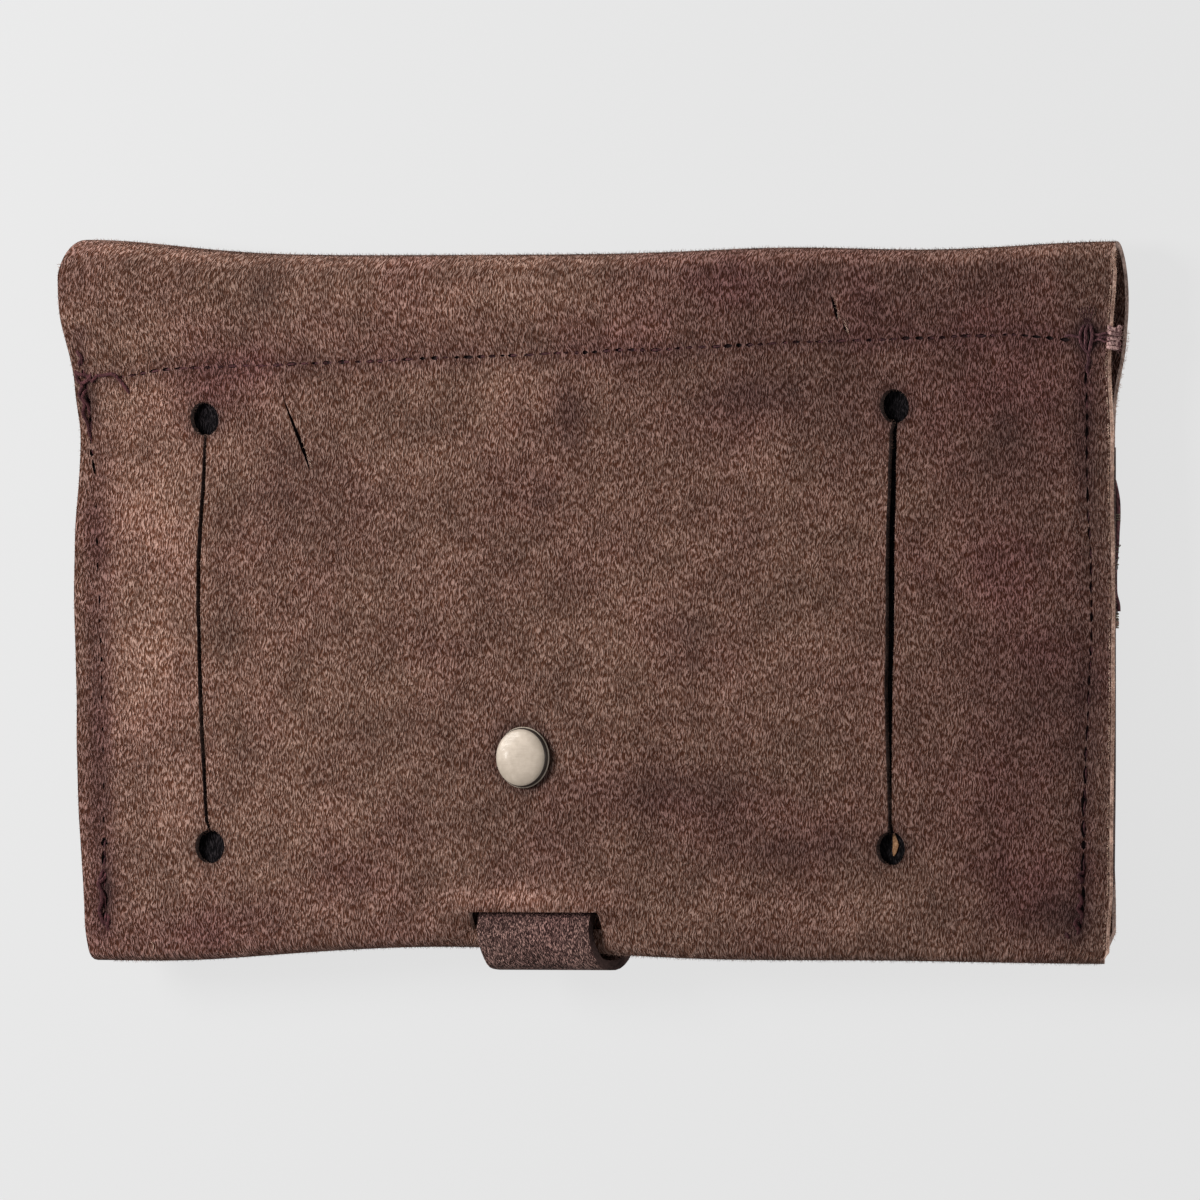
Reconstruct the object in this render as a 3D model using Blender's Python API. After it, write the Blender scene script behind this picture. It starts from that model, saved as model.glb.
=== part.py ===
# A suede belt pouch with a beaded strip, closed and lying on its front, back panel up.
#
# Metres, +Z up. The bag is drawn in its own frame: X runs across it, Y is the height above the
# bottom fold, and Z runs from the flap's outer face (0) up to the back panel. rest_frame then tips
# the whole bag by the few degrees at which it lies on its top fold and on the snap.

import math

import bmesh
import bpy
from mathutils import Matrix, Vector

MM = 0.001

# Thickness of each leather, and the air between pieces that lie on each other
LEATHER = 1.4 * MM
LINING = 0.9 * MM
STRAP_LEATHER = 2.0 * MM
GAP = 0.3 * MM
POCKET_SLACK = 0.5 * MM

# How far a cutter reaches past the piece that it cuts
CUT_REACH = 6.0 * MM

# Outline of the closed bag
HALF_WIDTH = 122.1 * MM
TOP = 143.7 * MM
TOP_RISE_LEFT = 3.4 * MM
TOP_SPREAD_LEFT = 21.5 * MM
TOP_RISE_RIGHT = 3.2 * MM
TOP_SPREAD_RIGHT = 24.0 * MM
TOP_RISE_MIDDLE = 1.2 * MM
TOP_RISE_MIDDLE_X = 50.0 * MM
TOP_SPREAD_MIDDLE = 22.0 * MM
BOTTOM_RISE = 2.95 * MM
BOTTOM_RISE_X = -36.0 * MM
BOTTOM_SPREAD = 34.0 * MM
FLARE_LEFT = 2.5 * MM
FLARE_RIGHT = 1.6 * MM
FLARE_START = 105.0 * MM
FLARE_END = 134.0 * MM
TAPER_LEFT = 2.5 * MM
TAPER_RIGHT = 0.4 * MM
TAPER_START = 45.0 * MM
CORNER_LEFT = 2.0 * MM
CORNER_HEIGHT = 5.0 * MM

# How far each layer stays back from the back panel's side edges
POCKET_INSET = 1.4 * MM
FLAP_INSET = 2.0 * MM
FOLD_INSET = 2.4 * MM
LINING_INSET = 3.0 * MM

# The rolled top fold, measured down from the top
FOLD_DROP = 3.4 * MM
FOLD_RAISE = 1.6 * MM
FOLD_RAISE_LEFT = 3.0 * MM
FOLD_LEFT_START = 75.0 * MM
FOLD_BACK_SHARE = 0.52
FOLD_LEAN = 1.6
FOLD_LOWEST = 15.4 * MM
FOLD_FLAT = 5.0 * MM
FOLD_PINCH = 35.4 * MM
FOLD_FOOT = FOLD_PINCH + 5.0 * MM

# Ends of the sheet, as heights above the bottom fold
POCKET_MOUTH = 104.3 * MM
FLAP_END = 4.5 * MM

# Lining panel behind the belt slits, and the seam that holds its top edge
LINING_BOTTOM = 12.0 * MM
SEAM_HEIGHT = 123.9 * MM
SEAM_SLOPE = 0.0337
LINING_ABOVE_SEAM = 4.5 * MM
LINING_LAST_ROW = 4.0 * MM
LINING_SAG = 0.2 * MM

# Belt slits in the back panel, with a punched hole at both ends
SLIT_HOLE = 6.9 * MM
SLITS = {
    "left": {"top": (-91.7 * MM, 110.4 * MM), "bottom": (-91.0 * MM, 23.4 * MM), "width": 0.8 * MM},
    "right": {"top": (71.8 * MM, 112.7 * MM), "bottom": (70.6 * MM, 23.2 * MM), "width": 1.6 * MM},
}

# Closure strap, and the slot that it comes out of
STRAP_X = -11.7 * MM
STRAP_WIDTH = 26.5 * MM
STRAP_INNER_END = 49.3 * MM
STRAP_TIP = 38.3 * MM
STRAP_TIP_RADIUS = 10.0 * MM
SLOT_X = -12.9 * MM
SLOT_WIDTH = 30.2 * MM
SLOT_TOP = 10.4 * MM
SLOT_HEIGHT = 3.8 * MM
SLOT_CORNER = 0.6 * MM
LIP_UP = 0.8 * MM
LIP_DOWN = 1.0 * MM
LIP_REACH = 9.0 * MM
LIP_FADE_IN = 2.0 * MM
LIP_FADE_OUT = 5.0 * MM

# The strap's middle line: above and below the slot, round the bag's bottom as (height, level),
# and along its outer end
STRAP_LIES_FLAT = (20.0 * MM, 5.0 * MM)
STRAP_SLOT_RISE = 0.5 * MM
STRAP_LIP_RISE = 0.4 * MM
STRAP_BELOW_SLOT = 3.3 * MM
STRAP_BEND = [(-0.6 * MM, 3.8 * MM), (-0.4 * MM, 0.6 * MM), (2.0 * MM, -1.5 * MM), (7.0 * MM, -2.2 * MM)]
STRAP_BEND_START = 0.2 * MM
STRAP_CLIMB = 14.0 * MM
STRAP_CLIMB_LEVEL = 1.0 * MM
STRAP_SNAP_ENTRY = (2.0 * MM, 0.1 * MM)
STRAP_SNAP_FLAT = 1.0 * MM

# The swelling of the layers round the strap that lies between them
SWELL_OUT = 1.0 * MM
SWELL_FLAT = 2.0 * MM
SWELL_FADE = 22.0 * MM
SWELL_FADE_UP = 16.0 * MM
SWELL_FOOT = 5.0 * MM
SWELL_FOOT_END = 10.4 * MM

# Rivet that holds the strap's inner end to the back panel
RIVET_X = -15.3 * MM
RIVET_HEIGHT = 41.5 * MM
RIVET_POST = 1.8 * MM
RIVET_BASE = 5.0 * MM
RIVET_BASE_THICK = 0.8 * MM

# Press snap that closes the strap on the flap
SNAP_HEIGHT = 28.3 * MM
SNAP_POST = 1.4 * MM
SNAP_STANDOFF = 2.0 * MM
SOCKET_RADIUS = 5.0 * MM
SOCKET_FLANGE = 0.3 * MM
SOCKET_WALL = 0.8 * MM
SOCKET_WALL_HEIGHT = 0.5 * MM
STUD_RADIUS = 4.2 * MM
STUD_FLANGE = 0.3 * MM
STUD_KNOB = 2.0 * MM
STUD_KNOB_HEIGHT = 0.5 * MM
EYELET_RADIUS = 4.5 * MM
EYELET_THICK = 0.5 * MM
EYELET_BARREL = 1.1 * MM

# The domed caps of the rivet and of the snap
CAP_RADIUS = 6.25 * MM
CAP_RIM = 0.5 * MM
CAP_DOME = 1.3 * MM
CAP_ROUNDNESS = 0.97
CAP_EDGE_SHARE = 0.3

# Beaded strip across the flap: rows of small beads between two rows of larger ones
STRIP_BOTTOM = 67.8 * MM
BEAD_ROWS = 15
BEAD_ROW = 1.53 * MM
BEAD_PITCH = 1.6 * MM
BEAD_STRIP_THICK = 1.5 * MM
BEAD_GROOVE = 0.45 * MM
EDGE_BEAD = 1.0 * MM
DIAMOND_ROWS = 5
DIAMOND_SPACING = 44.0 * MM
DIAMOND_COUNT = 5

# How finely the sheets and the round pieces are divided
SHEET_STEP = 15.0 * MM
FINE_STEP = 7.0 * MM
STRAP_STEP = 2.5 * MM
COLUMN_OUTSIDE_SLOT = 4.0 * MM
COLUMN_INSIDE_SLOT = 3.0 * MM
ROW_BESIDE_SLOT = 0.1 * MM
STRAP_COLUMNS = [-1.0, -0.7, -0.25, 0.25, 0.7, 1.0]
FOLD_STEPS = 6
ROUND_STEPS = 22
HOLE_STEPS = 18
CORNER_STEPS = 2
DOME_STEPS = 5
RIDGE_STEPS = 3
EDGE_BEAD_STEPS = 10
SHARP_ANGLE = 40

# Finishes: colour, roughness, and how metallic
FINISHES = {
    "brown_suede": ((0.155, 0.085, 0.063), 0.95, 0.0),
    "lining_suede": ((0.12, 0.07, 0.055), 0.95, 0.0),
    "strap_suede": ((0.10, 0.058, 0.048), 0.95, 0.0),
    "aged_nickel": ((0.60, 0.50, 0.39), 0.35, 1.0),
    "dark_glass_bead": ((0.02, 0.016, 0.02), 0.2, 0.0),
    "light_glass_bead": ((0.62, 0.55, 0.42), 0.2, 0.0),
    "red_glass_bead": ((0.30, 0.03, 0.035), 0.2, 0.0),
}

# Middle levels of the layers, from the flap outwards to the back panel
FLAP_MID = LEATHER / 2
POCKET_MID = LEATHER + GAP + LEATHER / 2
LINING_MID = POCKET_MID + LEATHER / 2 + POCKET_SLACK + LINING / 2
BACK_MID = LINING_MID + LINING / 2 + GAP + LEATHER / 2
BACK_FACE = BACK_MID + LEATHER / 2

SWELL_IN = STRAP_LEATHER + GAP - SWELL_OUT
SLOT_BOTTOM = SLOT_TOP - SLOT_HEIGHT
FOLD_LOW_MID = LEATHER / 2 - FOLD_DROP
STRAP_INNER_MID = BACK_MID + SWELL_OUT - LEATHER / 2 - GAP - STRAP_LEATHER / 2
STRAP_SNAP_MID = -SWELL_IN - SNAP_STANDOFF - STRAP_LEATHER / 2
STRIP_HEIGHT = 2 * (2 * EDGE_BEAD + GAP) + BEAD_ROWS * BEAD_ROW
STRIP_MIDDLE = STRIP_BOTTOM + STRIP_HEIGHT / 2
STRIP_HALF = HALF_WIDTH - FLAP_INSET


def smooth(t):
    t = min(1.0, max(0.0, t))
    return t * t * (3 - 2 * t)


def ramp(value, start, end):
    return smooth((value - start) / (end - start))


def bell(value, middle, spread):
    return math.exp(-((value - middle) / spread) ** 2 / 2)


# Outline of the bag

def top_line(x):
    left = TOP_RISE_LEFT * bell(x, -HALF_WIDTH, TOP_SPREAD_LEFT)
    right = TOP_RISE_RIGHT * bell(x, HALF_WIDTH, TOP_SPREAD_RIGHT)
    middle = TOP_RISE_MIDDLE * bell(x, TOP_RISE_MIDDLE_X, TOP_SPREAD_MIDDLE)
    return TOP + left + right + middle


def bottom_line(x):
    return BOTTOM_RISE * bell(x, BOTTOM_RISE_X, BOTTOM_SPREAD)


def left_edge(y):
    flare = FLARE_LEFT * ramp(y, FLARE_START, FLARE_END)
    taper = TAPER_LEFT * (1 - ramp(y, 0, TAPER_START))
    corner = CORNER_LEFT * (1 - ramp(y, 0, CORNER_HEIGHT))
    return -HALF_WIDTH - flare + taper + corner


def right_edge(y):
    flare = FLARE_RIGHT * ramp(y, FLARE_START, FLARE_END)
    taper = TAPER_RIGHT * (1 - ramp(y, 0, TAPER_START))
    return HALF_WIDTH + flare - taper


def seam_line(x):
    return SEAM_HEIGHT + SEAM_SLOPE * x


# Where the layers rise and sink

def fold_raise(x):
    return FOLD_RAISE + FOLD_RAISE_LEFT * ramp(-x, FOLD_LEFT_START, HALF_WIDTH)


def strap_swell(x, y):
    start = STRAP_WIDTH / 2 + SWELL_FLAT
    across = 1 - ramp(abs(x - STRAP_X), start, start + SWELL_FADE)
    crest = STRAP_INNER_END + SWELL_FLAT
    return across * (1 - ramp(y, crest, crest + SWELL_FADE_UP))


def slot_bell(x):
    reach = SLOT_WIDTH / 2
    return 1 - ramp(abs(x - SLOT_X), reach - LIP_FADE_IN, reach + LIP_FADE_OUT)


def front_drop(x, y):
    return SWELL_IN * strap_swell(x, y) * ramp(y, SWELL_FOOT, SWELL_FOOT_END)


def back_lift(x, y):
    top = top_line(x)
    lift = fold_raise(x) * ramp(y, top - FOLD_FOOT, top - FOLD_LOWEST - FOLD_FLAT)
    swell = SWELL_OUT * strap_swell(x, y)
    above = swell + LIP_UP * slot_bell(x) * (1 - ramp(y, SLOT_TOP, SLOT_TOP + LIP_REACH))
    foot = ramp(y, bottom_line(x), SLOT_BOTTOM)
    below = (swell * (1 - slot_bell(x)) - LIP_DOWN * slot_bell(x)) * foot
    mix = (y - SLOT_BOTTOM) / SLOT_HEIGHT
    mix = min(1.0, max(0.0, mix))
    return lift + below * (1 - mix) + above * mix


# Stations: break points with even steps between them

def divisions(breaks, steps):
    return [max(1, round(abs(end - start) / step)) for start, end, step in zip(breaks, breaks[1:], steps)]


def stations(breaks, counts):
    places = [breaks[0]]
    for start, end, count in zip(breaks, breaks[1:], counts):
        places += [start + (end - start) * k / count for k in range(1, count + 1)]
    return places


def columns():
    slot_left = SLOT_X - SLOT_WIDTH / 2
    slot_right = SLOT_X + SLOT_WIDTH / 2
    breaks = [-HALF_WIDTH, slot_left - SWELL_FADE,
              slot_left - COLUMN_OUTSIDE_SLOT, slot_left + COLUMN_INSIDE_SLOT,
              slot_right - COLUMN_INSIDE_SLOT, slot_right + COLUMN_OUTSIDE_SLOT,
              slot_right + SWELL_FADE, HALF_WIDTH]
    steps = [SHEET_STEP, FINE_STEP, FINE_STEP, SHEET_STEP, FINE_STEP, FINE_STEP, SHEET_STEP]
    return stations(breaks, divisions(breaks, steps))


def layer_rows(bottom, top):
    """Row heights of a layer between two ends. Every layer has as many rows as the others."""
    crest = STRAP_INNER_END + SWELL_FLAT
    shared = [SLOT_BOTTOM - ROW_BESIDE_SLOT, SLOT_TOP + ROW_BESIDE_SLOT, SLOT_TOP + LIP_REACH,
              crest, crest + SWELL_FADE_UP]
    steps = [FINE_STEP, FINE_STEP, FINE_STEP, SHEET_STEP, FINE_STEP, SHEET_STEP]
    counts = divisions([0] + shared + [TOP - FOLD_PINCH], steps)
    return stations([bottom] + shared + [top], counts)


def fold_rows(foot, crest, top):
    """Row heights where a layer climbs into the top fold."""
    return stations([foot, crest, top], [FOLD_STEPS - 1, 2])[1:]


# The folded sheet: pocket wall, bottom fold, back panel, top fold and flap in one piece

def fold_path(x):
    """Middle line of the sheet at x, as (y, z, inset), from the pocket's mouth to the flap's end."""
    fold_radius = (BACK_MID - POCKET_MID) / 2
    fold_centre = bottom_line(x) + LEATHER / 2 + fold_radius
    top = top_line(x)
    back_top = BACK_MID + fold_raise(x)
    roll = FOLD_BACK_SHARE * (back_top - FOLD_LOW_MID)
    nose = top - LEATHER / 2
    nose_z = back_top - roll
    lowest = top - FOLD_LOWEST

    path = []
    for y in reversed(layer_rows(fold_centre, POCKET_MOUTH)):
        path.append((y, POCKET_MID - front_drop(x, y), POCKET_INSET))
    for k in range(1, FOLD_STEPS):
        turn = math.pi * k / FOLD_STEPS
        y = fold_centre - fold_radius * math.sin(turn)
        z = (BACK_MID + POCKET_MID) / 2 - fold_radius * math.cos(turn)
        path.append((y, z, POCKET_INSET * (1 - k / FOLD_STEPS)))

    fold_foot = top - FOLD_FOOT
    rows = layer_rows(fold_centre, fold_foot)
    rows += fold_rows(fold_foot, top - FOLD_LOWEST - FOLD_FLAT, nose - roll)
    for y in rows:
        path.append((y, BACK_MID + back_lift(x, y), 0))
    for k in range(1, FOLD_STEPS):
        turn = math.pi / 2 * k / FOLD_STEPS
        y = nose - roll + roll * math.sin(turn)
        z = nose_z + roll * math.cos(turn)
        path.append((y, z, FOLD_INSET * k / FOLD_STEPS))

    lean = 2 / FOLD_LEAN
    for k in range(FOLD_STEPS + 1):
        turn = math.pi / 2 * k / FOLD_STEPS
        y = lowest + (nose - lowest) * max(0.0, math.cos(turn)) ** lean
        z = nose_z + (FOLD_LOW_MID - nose_z) * math.sin(turn) ** lean
        path.append((y, z, FOLD_INSET))
    pinch = top - FOLD_PINCH
    for k in range(FOLD_STEPS):
        t = k / FOLD_STEPS
        y = lowest - FOLD_FLAT + (pinch - lowest + FOLD_FLAT) * t
        z = FOLD_LOW_MID + (FLAP_MID - FOLD_LOW_MID) * smooth(t)
        path.append((y, z, FOLD_INSET + (FLAP_INSET - FOLD_INSET) * t))
    for y in reversed(layer_rows(FLAP_END, pinch)):
        path.append((y, FLAP_MID - front_drop(x, y), FLAP_INSET))
    return path


def lining_path(x):
    x *= 1 - LINING_INSET / HALF_WIDTH
    top = seam_line(x) + LINING_ABOVE_SEAM
    fold_foot = top_line(x) - FOLD_FOOT
    rows = [y for y in layer_rows(0, fold_foot) if y > LINING_BOTTOM]
    rows = [LINING_BOTTOM] + rows + fold_rows(fold_foot, top - LINING_LAST_ROW, top)
    path = []
    for y in rows:
        climb = back_lift(x, y) - LINING_SAG * ramp(y, fold_foot, top) if y >= fold_foot else 0
        path.append((y, LINING_MID + climb - front_drop(x, y), LINING_INSET))
    return path


# Strap: its middle line from the inner end, out of the slot, round the bottom, up to its tip

def strap_route():
    inside = [(STRAP_INNER_END, STRAP_INNER_MID)]
    inside += [(SLOT_TOP + above, STRAP_INNER_MID) for above in STRAP_LIES_FLAT]
    inside.append((SLOT_TOP, STRAP_INNER_MID + STRAP_SLOT_RISE))
    on_back = BACK_FACE + GAP + STRAP_LEATHER / 2
    round_bottom = [
        (SLOT_BOTTOM, on_back - LIP_DOWN + STRAP_LIP_RISE),
        (SLOT_BOTTOM - STRAP_BELOW_SLOT, on_back),
        (STRAP_BEND_START, BACK_FACE),
    ]
    cap_low = SNAP_HEIGHT - CAP_RADIUS
    entry_below, entry_rise = STRAP_SNAP_ENTRY
    outer_end = [
        (STRAP_CLIMB, STRAP_SNAP_MID + STRAP_CLIMB_LEVEL),
        (cap_low - entry_below, STRAP_SNAP_MID + entry_rise),
        (cap_low + STRAP_SNAP_FLAT, STRAP_SNAP_MID),
        (SNAP_HEIGHT + CAP_RADIUS, STRAP_SNAP_MID),
        (STRAP_TIP, STRAP_SNAP_MID),
    ]
    return inside + round_bottom + STRAP_BEND + outer_end


def smooth_curve(points, step):
    """Points read from a smooth curve that goes through the given ones."""
    ends = [2 * Vector(points[0]) - Vector(points[1])]
    through = ends + [Vector(p) for p in points] + [2 * Vector(points[-1]) - Vector(points[-2])]
    curve = []
    for a, b, c, d in zip(through, through[1:], through[2:], through[3:]):
        count = max(1, round((c - b).length / step))
        for k in range(count):
            t = k / count
            curve.append(0.5 * (2 * b + (c - a) * t + (2 * a - 5 * b + 4 * c - d) * t ** 2
                                + (3 * b - a - 3 * c + d) * t ** 3))
    curve.append(Vector(points[-1]))
    return curve


# Helpers that make objects

def clear_scene():
    for thing in list(bpy.data.objects):
        bpy.data.objects.remove(thing, do_unlink=True)


def material(name):
    colour, roughness, metallic = FINISHES[name]
    finish = bpy.data.materials.new(name)
    finish.use_nodes = True
    shader = finish.node_tree.nodes["Principled BSDF"]
    shader.inputs["Base Color"].default_value = (*colour, 1)
    shader.inputs["Roughness"].default_value = roughness
    shader.inputs["Metallic"].default_value = metallic
    return finish


def add_object(name, bm, finish=None, round_shading=True):
    mesh = bpy.data.meshes.new(name)
    bm.to_mesh(mesh)
    bm.free()
    piece = bpy.data.objects.new(name, mesh)
    bpy.context.scene.collection.objects.link(piece)
    if finish:
        mesh.materials.append(finish)
    if round_shading:
        mesh.shade_smooth()
        mesh.set_sharp_from_angle(angle=math.radians(SHARP_ANGLE))
    return piece


def grid_sheet(path_of, places):
    """A sheet whose rows follow path_of(x) and whose columns stand at the given places."""
    bm = bmesh.new()
    rows = len(path_of(0))
    bmesh.ops.create_grid(bm, x_segments=len(places) - 1, y_segments=rows - 1, size=0.5)
    paths = [path_of(x) for x in places]
    for vert in bm.verts:
        column = round((vert.co.x + 0.5) * (len(places) - 1))
        row = round((vert.co.y + 0.5) * (rows - 1))
        y, z, inset = paths[column][row]
        share = (places[column] - places[0]) / (places[-1] - places[0])
        left = left_edge(y) + inset
        right = right_edge(y) - inset
        vert.co = (left + (right - left) * share, y, z)
    return bm


def add_thickness(piece, thickness):
    solid = piece.modifiers.new("thickness", "SOLIDIFY")
    solid.thickness = thickness
    solid.offset = 0
    solid.use_even_offset = True


def cut(piece, cutter, operation="DIFFERENCE"):
    boolean = piece.modifiers.new("cut " + cutter.name, "BOOLEAN")
    boolean.operation = operation
    boolean.solver = "EXACT"
    boolean.object = cutter
    cutter.hide_render = True
    cutter.display_type = "WIRE"


def prism(name, outline, low, high):
    """A closed prism over an outline in X and Y."""
    bm = bmesh.new()
    base = bm.faces.new([bm.verts.new((x, y, low)) for x, y in outline])
    top = bmesh.ops.extrude_face_region(bm, geom=[base])
    lifted = [v for v in top["geom"] if isinstance(v, bmesh.types.BMVert)]
    bmesh.ops.translate(bm, verts=lifted, vec=(0, 0, high - low))
    bmesh.ops.recalc_face_normals(bm, faces=bm.faces)
    return add_object(name, bm, round_shading=False)


def drum(name, x, y, radius, low, high):
    return prism(name, [(x + radius * math.cos(2 * math.pi * k / HOLE_STEPS),
                         y + radius * math.sin(2 * math.pi * k / HOLE_STEPS))
                        for k in range(HOLE_STEPS)], low, high)


def turned(name, profile, place, finish):
    """A piece turned from (radius, z) points. A profile that leaves the axis makes a ring."""
    bm = bmesh.new()
    verts = [bm.verts.new((r, 0, z)) for r, z in profile]
    for a, b in zip(verts, verts[1:]):
        bm.edges.new((a, b))
    if profile[0][0] > 0:
        bm.edges.new((verts[-1], verts[0]))
    bmesh.ops.spin(bm, geom=bm.verts[:] + bm.edges[:], cent=(0, 0, 0), axis=(0, 0, 1),
                   angle=2 * math.pi, steps=ROUND_STEPS, use_merge=True)
    bmesh.ops.remove_doubles(bm, verts=bm.verts, dist=1e-6)
    bmesh.ops.recalc_face_normals(bm, faces=bm.faces)
    piece = add_object(name, bm, finish)
    piece.location = place
    return piece


# Leather pieces

def keyhole_outline(slit):
    """Outline of a slit with a round hole at both ends."""
    top = Vector(slit["top"])
    bottom = Vector(slit["bottom"])
    along = (top - bottom).normalized()
    heading = math.atan2(along.y, along.x)
    radius = SLIT_HOLE / 2
    opening = math.asin(slit["width"] / SLIT_HOLE)
    outline = []
    for centre, facing in ((top, heading), (bottom, heading + math.pi)):
        for k in range(HOLE_STEPS + 1):
            turn = facing - math.pi + opening + (2 * math.pi - 2 * opening) * k / HOLE_STEPS
            outline.append((centre.x + radius * math.cos(turn), centre.y + radius * math.sin(turn)))
    return outline


def slot_outline():
    """Outline of the strap's slot: straight, with small round corners."""
    radius = SLOT_CORNER
    outline = []
    for quarter, (across, up) in enumerate(((1, 1), (-1, 1), (-1, -1), (1, -1))):
        x = SLOT_X + across * (SLOT_WIDTH / 2 - radius)
        y = (SLOT_TOP + SLOT_BOTTOM) / 2 + up * (SLOT_HEIGHT / 2 - radius)
        for k in range(CORNER_STEPS + 1):
            turn = math.pi / 2 * (quarter + k / CORNER_STEPS)
            outline.append((x + radius * math.cos(turn), y + radius * math.sin(turn)))
    return outline


def make_folded_sheet(finish):
    sheet = add_object("folded_leather", grid_sheet(fold_path, columns()), finish)
    add_thickness(sheet, LEATHER)
    below_back = BACK_MID - LEATHER / 2 - GAP - LINING / 2
    above_back = BACK_FACE + CUT_REACH
    for side, slit in SLITS.items():
        cut(sheet, prism("cut_slit_" + side, keyhole_outline(slit), below_back, above_back))
    slot_low = BACK_MID - LEATHER / 2 - LIP_DOWN - GAP
    cut(sheet, prism("cut_slot", slot_outline(), slot_low, above_back))
    cut(sheet, drum("cut_rivet_hole", RIVET_X, RIVET_HEIGHT, RIVET_POST + GAP, below_back, above_back))
    flap_inner = LEATHER - SWELL_IN
    cut(sheet, drum("cut_snap_hole", STRAP_X, SNAP_HEIGHT, EYELET_BARREL + GAP,
                    flap_inner - 2 * LEATHER, flap_inner + GAP / 2))
    cut(sheet, drum("cut_eyelet_seat", STRAP_X, SNAP_HEIGHT, EYELET_RADIUS + GAP,
                    flap_inner - EYELET_THICK - GAP, flap_inner + GAP / 2))
    return sheet


def make_lining(finish):
    lining = add_object("lining_panel", grid_sheet(lining_path, columns()), finish)
    add_thickness(lining, LINING)
    return lining


def make_strap(finish):
    curve = smooth_curve(strap_route(), STRAP_STEP)
    lengths = [0.0]
    for a, b in zip(curve, curve[1:]):
        lengths.append(lengths[-1] + (b - a).length)

    def half_width(at):
        to_end = min(at, lengths[-1] - at)
        radius = STRAP_TIP_RADIUS if at > lengths[-1] / 2 else STRAP_TIP_RADIUS / 2
        if to_end >= radius:
            return STRAP_WIDTH / 2
        return STRAP_WIDTH / 2 - radius + math.sqrt(radius ** 2 - (radius - to_end) ** 2)

    bm = bmesh.new()
    bmesh.ops.create_grid(bm, x_segments=len(STRAP_COLUMNS) - 1, y_segments=len(curve) - 1, size=0.5)
    for vert in bm.verts:
        column = round((vert.co.x + 0.5) * (len(STRAP_COLUMNS) - 1))
        row = round((vert.co.y + 0.5) * (len(curve) - 1))
        vert.co = (STRAP_X + STRAP_COLUMNS[column] * half_width(lengths[row]), *curve[row])
    strap = add_object("closure_strap", bm, finish)
    add_thickness(strap, STRAP_LEATHER)
    inner_low = STRAP_INNER_MID - STRAP_LEATHER / 2
    cut(strap, drum("cut_strap_rivet_hole", RIVET_X, RIVET_HEIGHT, RIVET_POST + GAP,
                    inner_low - GAP, BACK_FACE + SWELL_OUT))
    cut(strap, drum("cut_rivet_base_seat", RIVET_X, RIVET_HEIGHT, RIVET_BASE + GAP,
                    inner_low - GAP, inner_low + RIVET_BASE_THICK + GAP))
    outer_low = STRAP_SNAP_MID - STRAP_LEATHER / 2
    cut(strap, drum("cut_strap_snap_hole", STRAP_X, SNAP_HEIGHT, SNAP_POST + GAP,
                    outer_low - GAP, outer_low + STRAP_LEATHER + GAP))
    return strap


# Metal pieces

def cap_profile(post_radius, post_length):
    """Domed cap with its post below it, from the axis at the crown down and back to the axis."""
    profile = [(0, CAP_RIM + CAP_DOME)]
    for k in range(1, DOME_STEPS + 1):
        r = (CAP_RADIUS - CAP_RIM / 2) * k / DOME_STEPS
        profile.append((r, CAP_RIM + CAP_DOME * math.sqrt(1 - CAP_ROUNDNESS * (r / CAP_RADIUS) ** 2)))
    profile += [(CAP_RADIUS, CAP_RIM), (CAP_RADIUS, CAP_RIM * CAP_EDGE_SHARE),
                (CAP_RADIUS - CAP_RIM / 2, 0)]
    profile += [(post_radius, 0), (post_radius, -post_length), (0, -post_length)]
    return profile


def make_rivet(finish):
    surface = BACK_FACE + SWELL_OUT
    base_low = STRAP_INNER_MID - STRAP_LEATHER / 2
    post_length = surface + GAP - base_low
    turned("back_rivet_cap", cap_profile(RIVET_POST, post_length),
           (RIVET_X, RIVET_HEIGHT, surface + GAP), finish)
    bore = RIVET_POST + GAP
    rim = RIVET_BASE_THICK / 4
    base = [(bore, 0), (RIVET_BASE - rim, 0), (RIVET_BASE, rim),
            (RIVET_BASE, RIVET_BASE_THICK), (bore, RIVET_BASE_THICK)]
    turned("back_rivet_base", base, (RIVET_X, RIVET_HEIGHT, base_low), finish)


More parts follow.
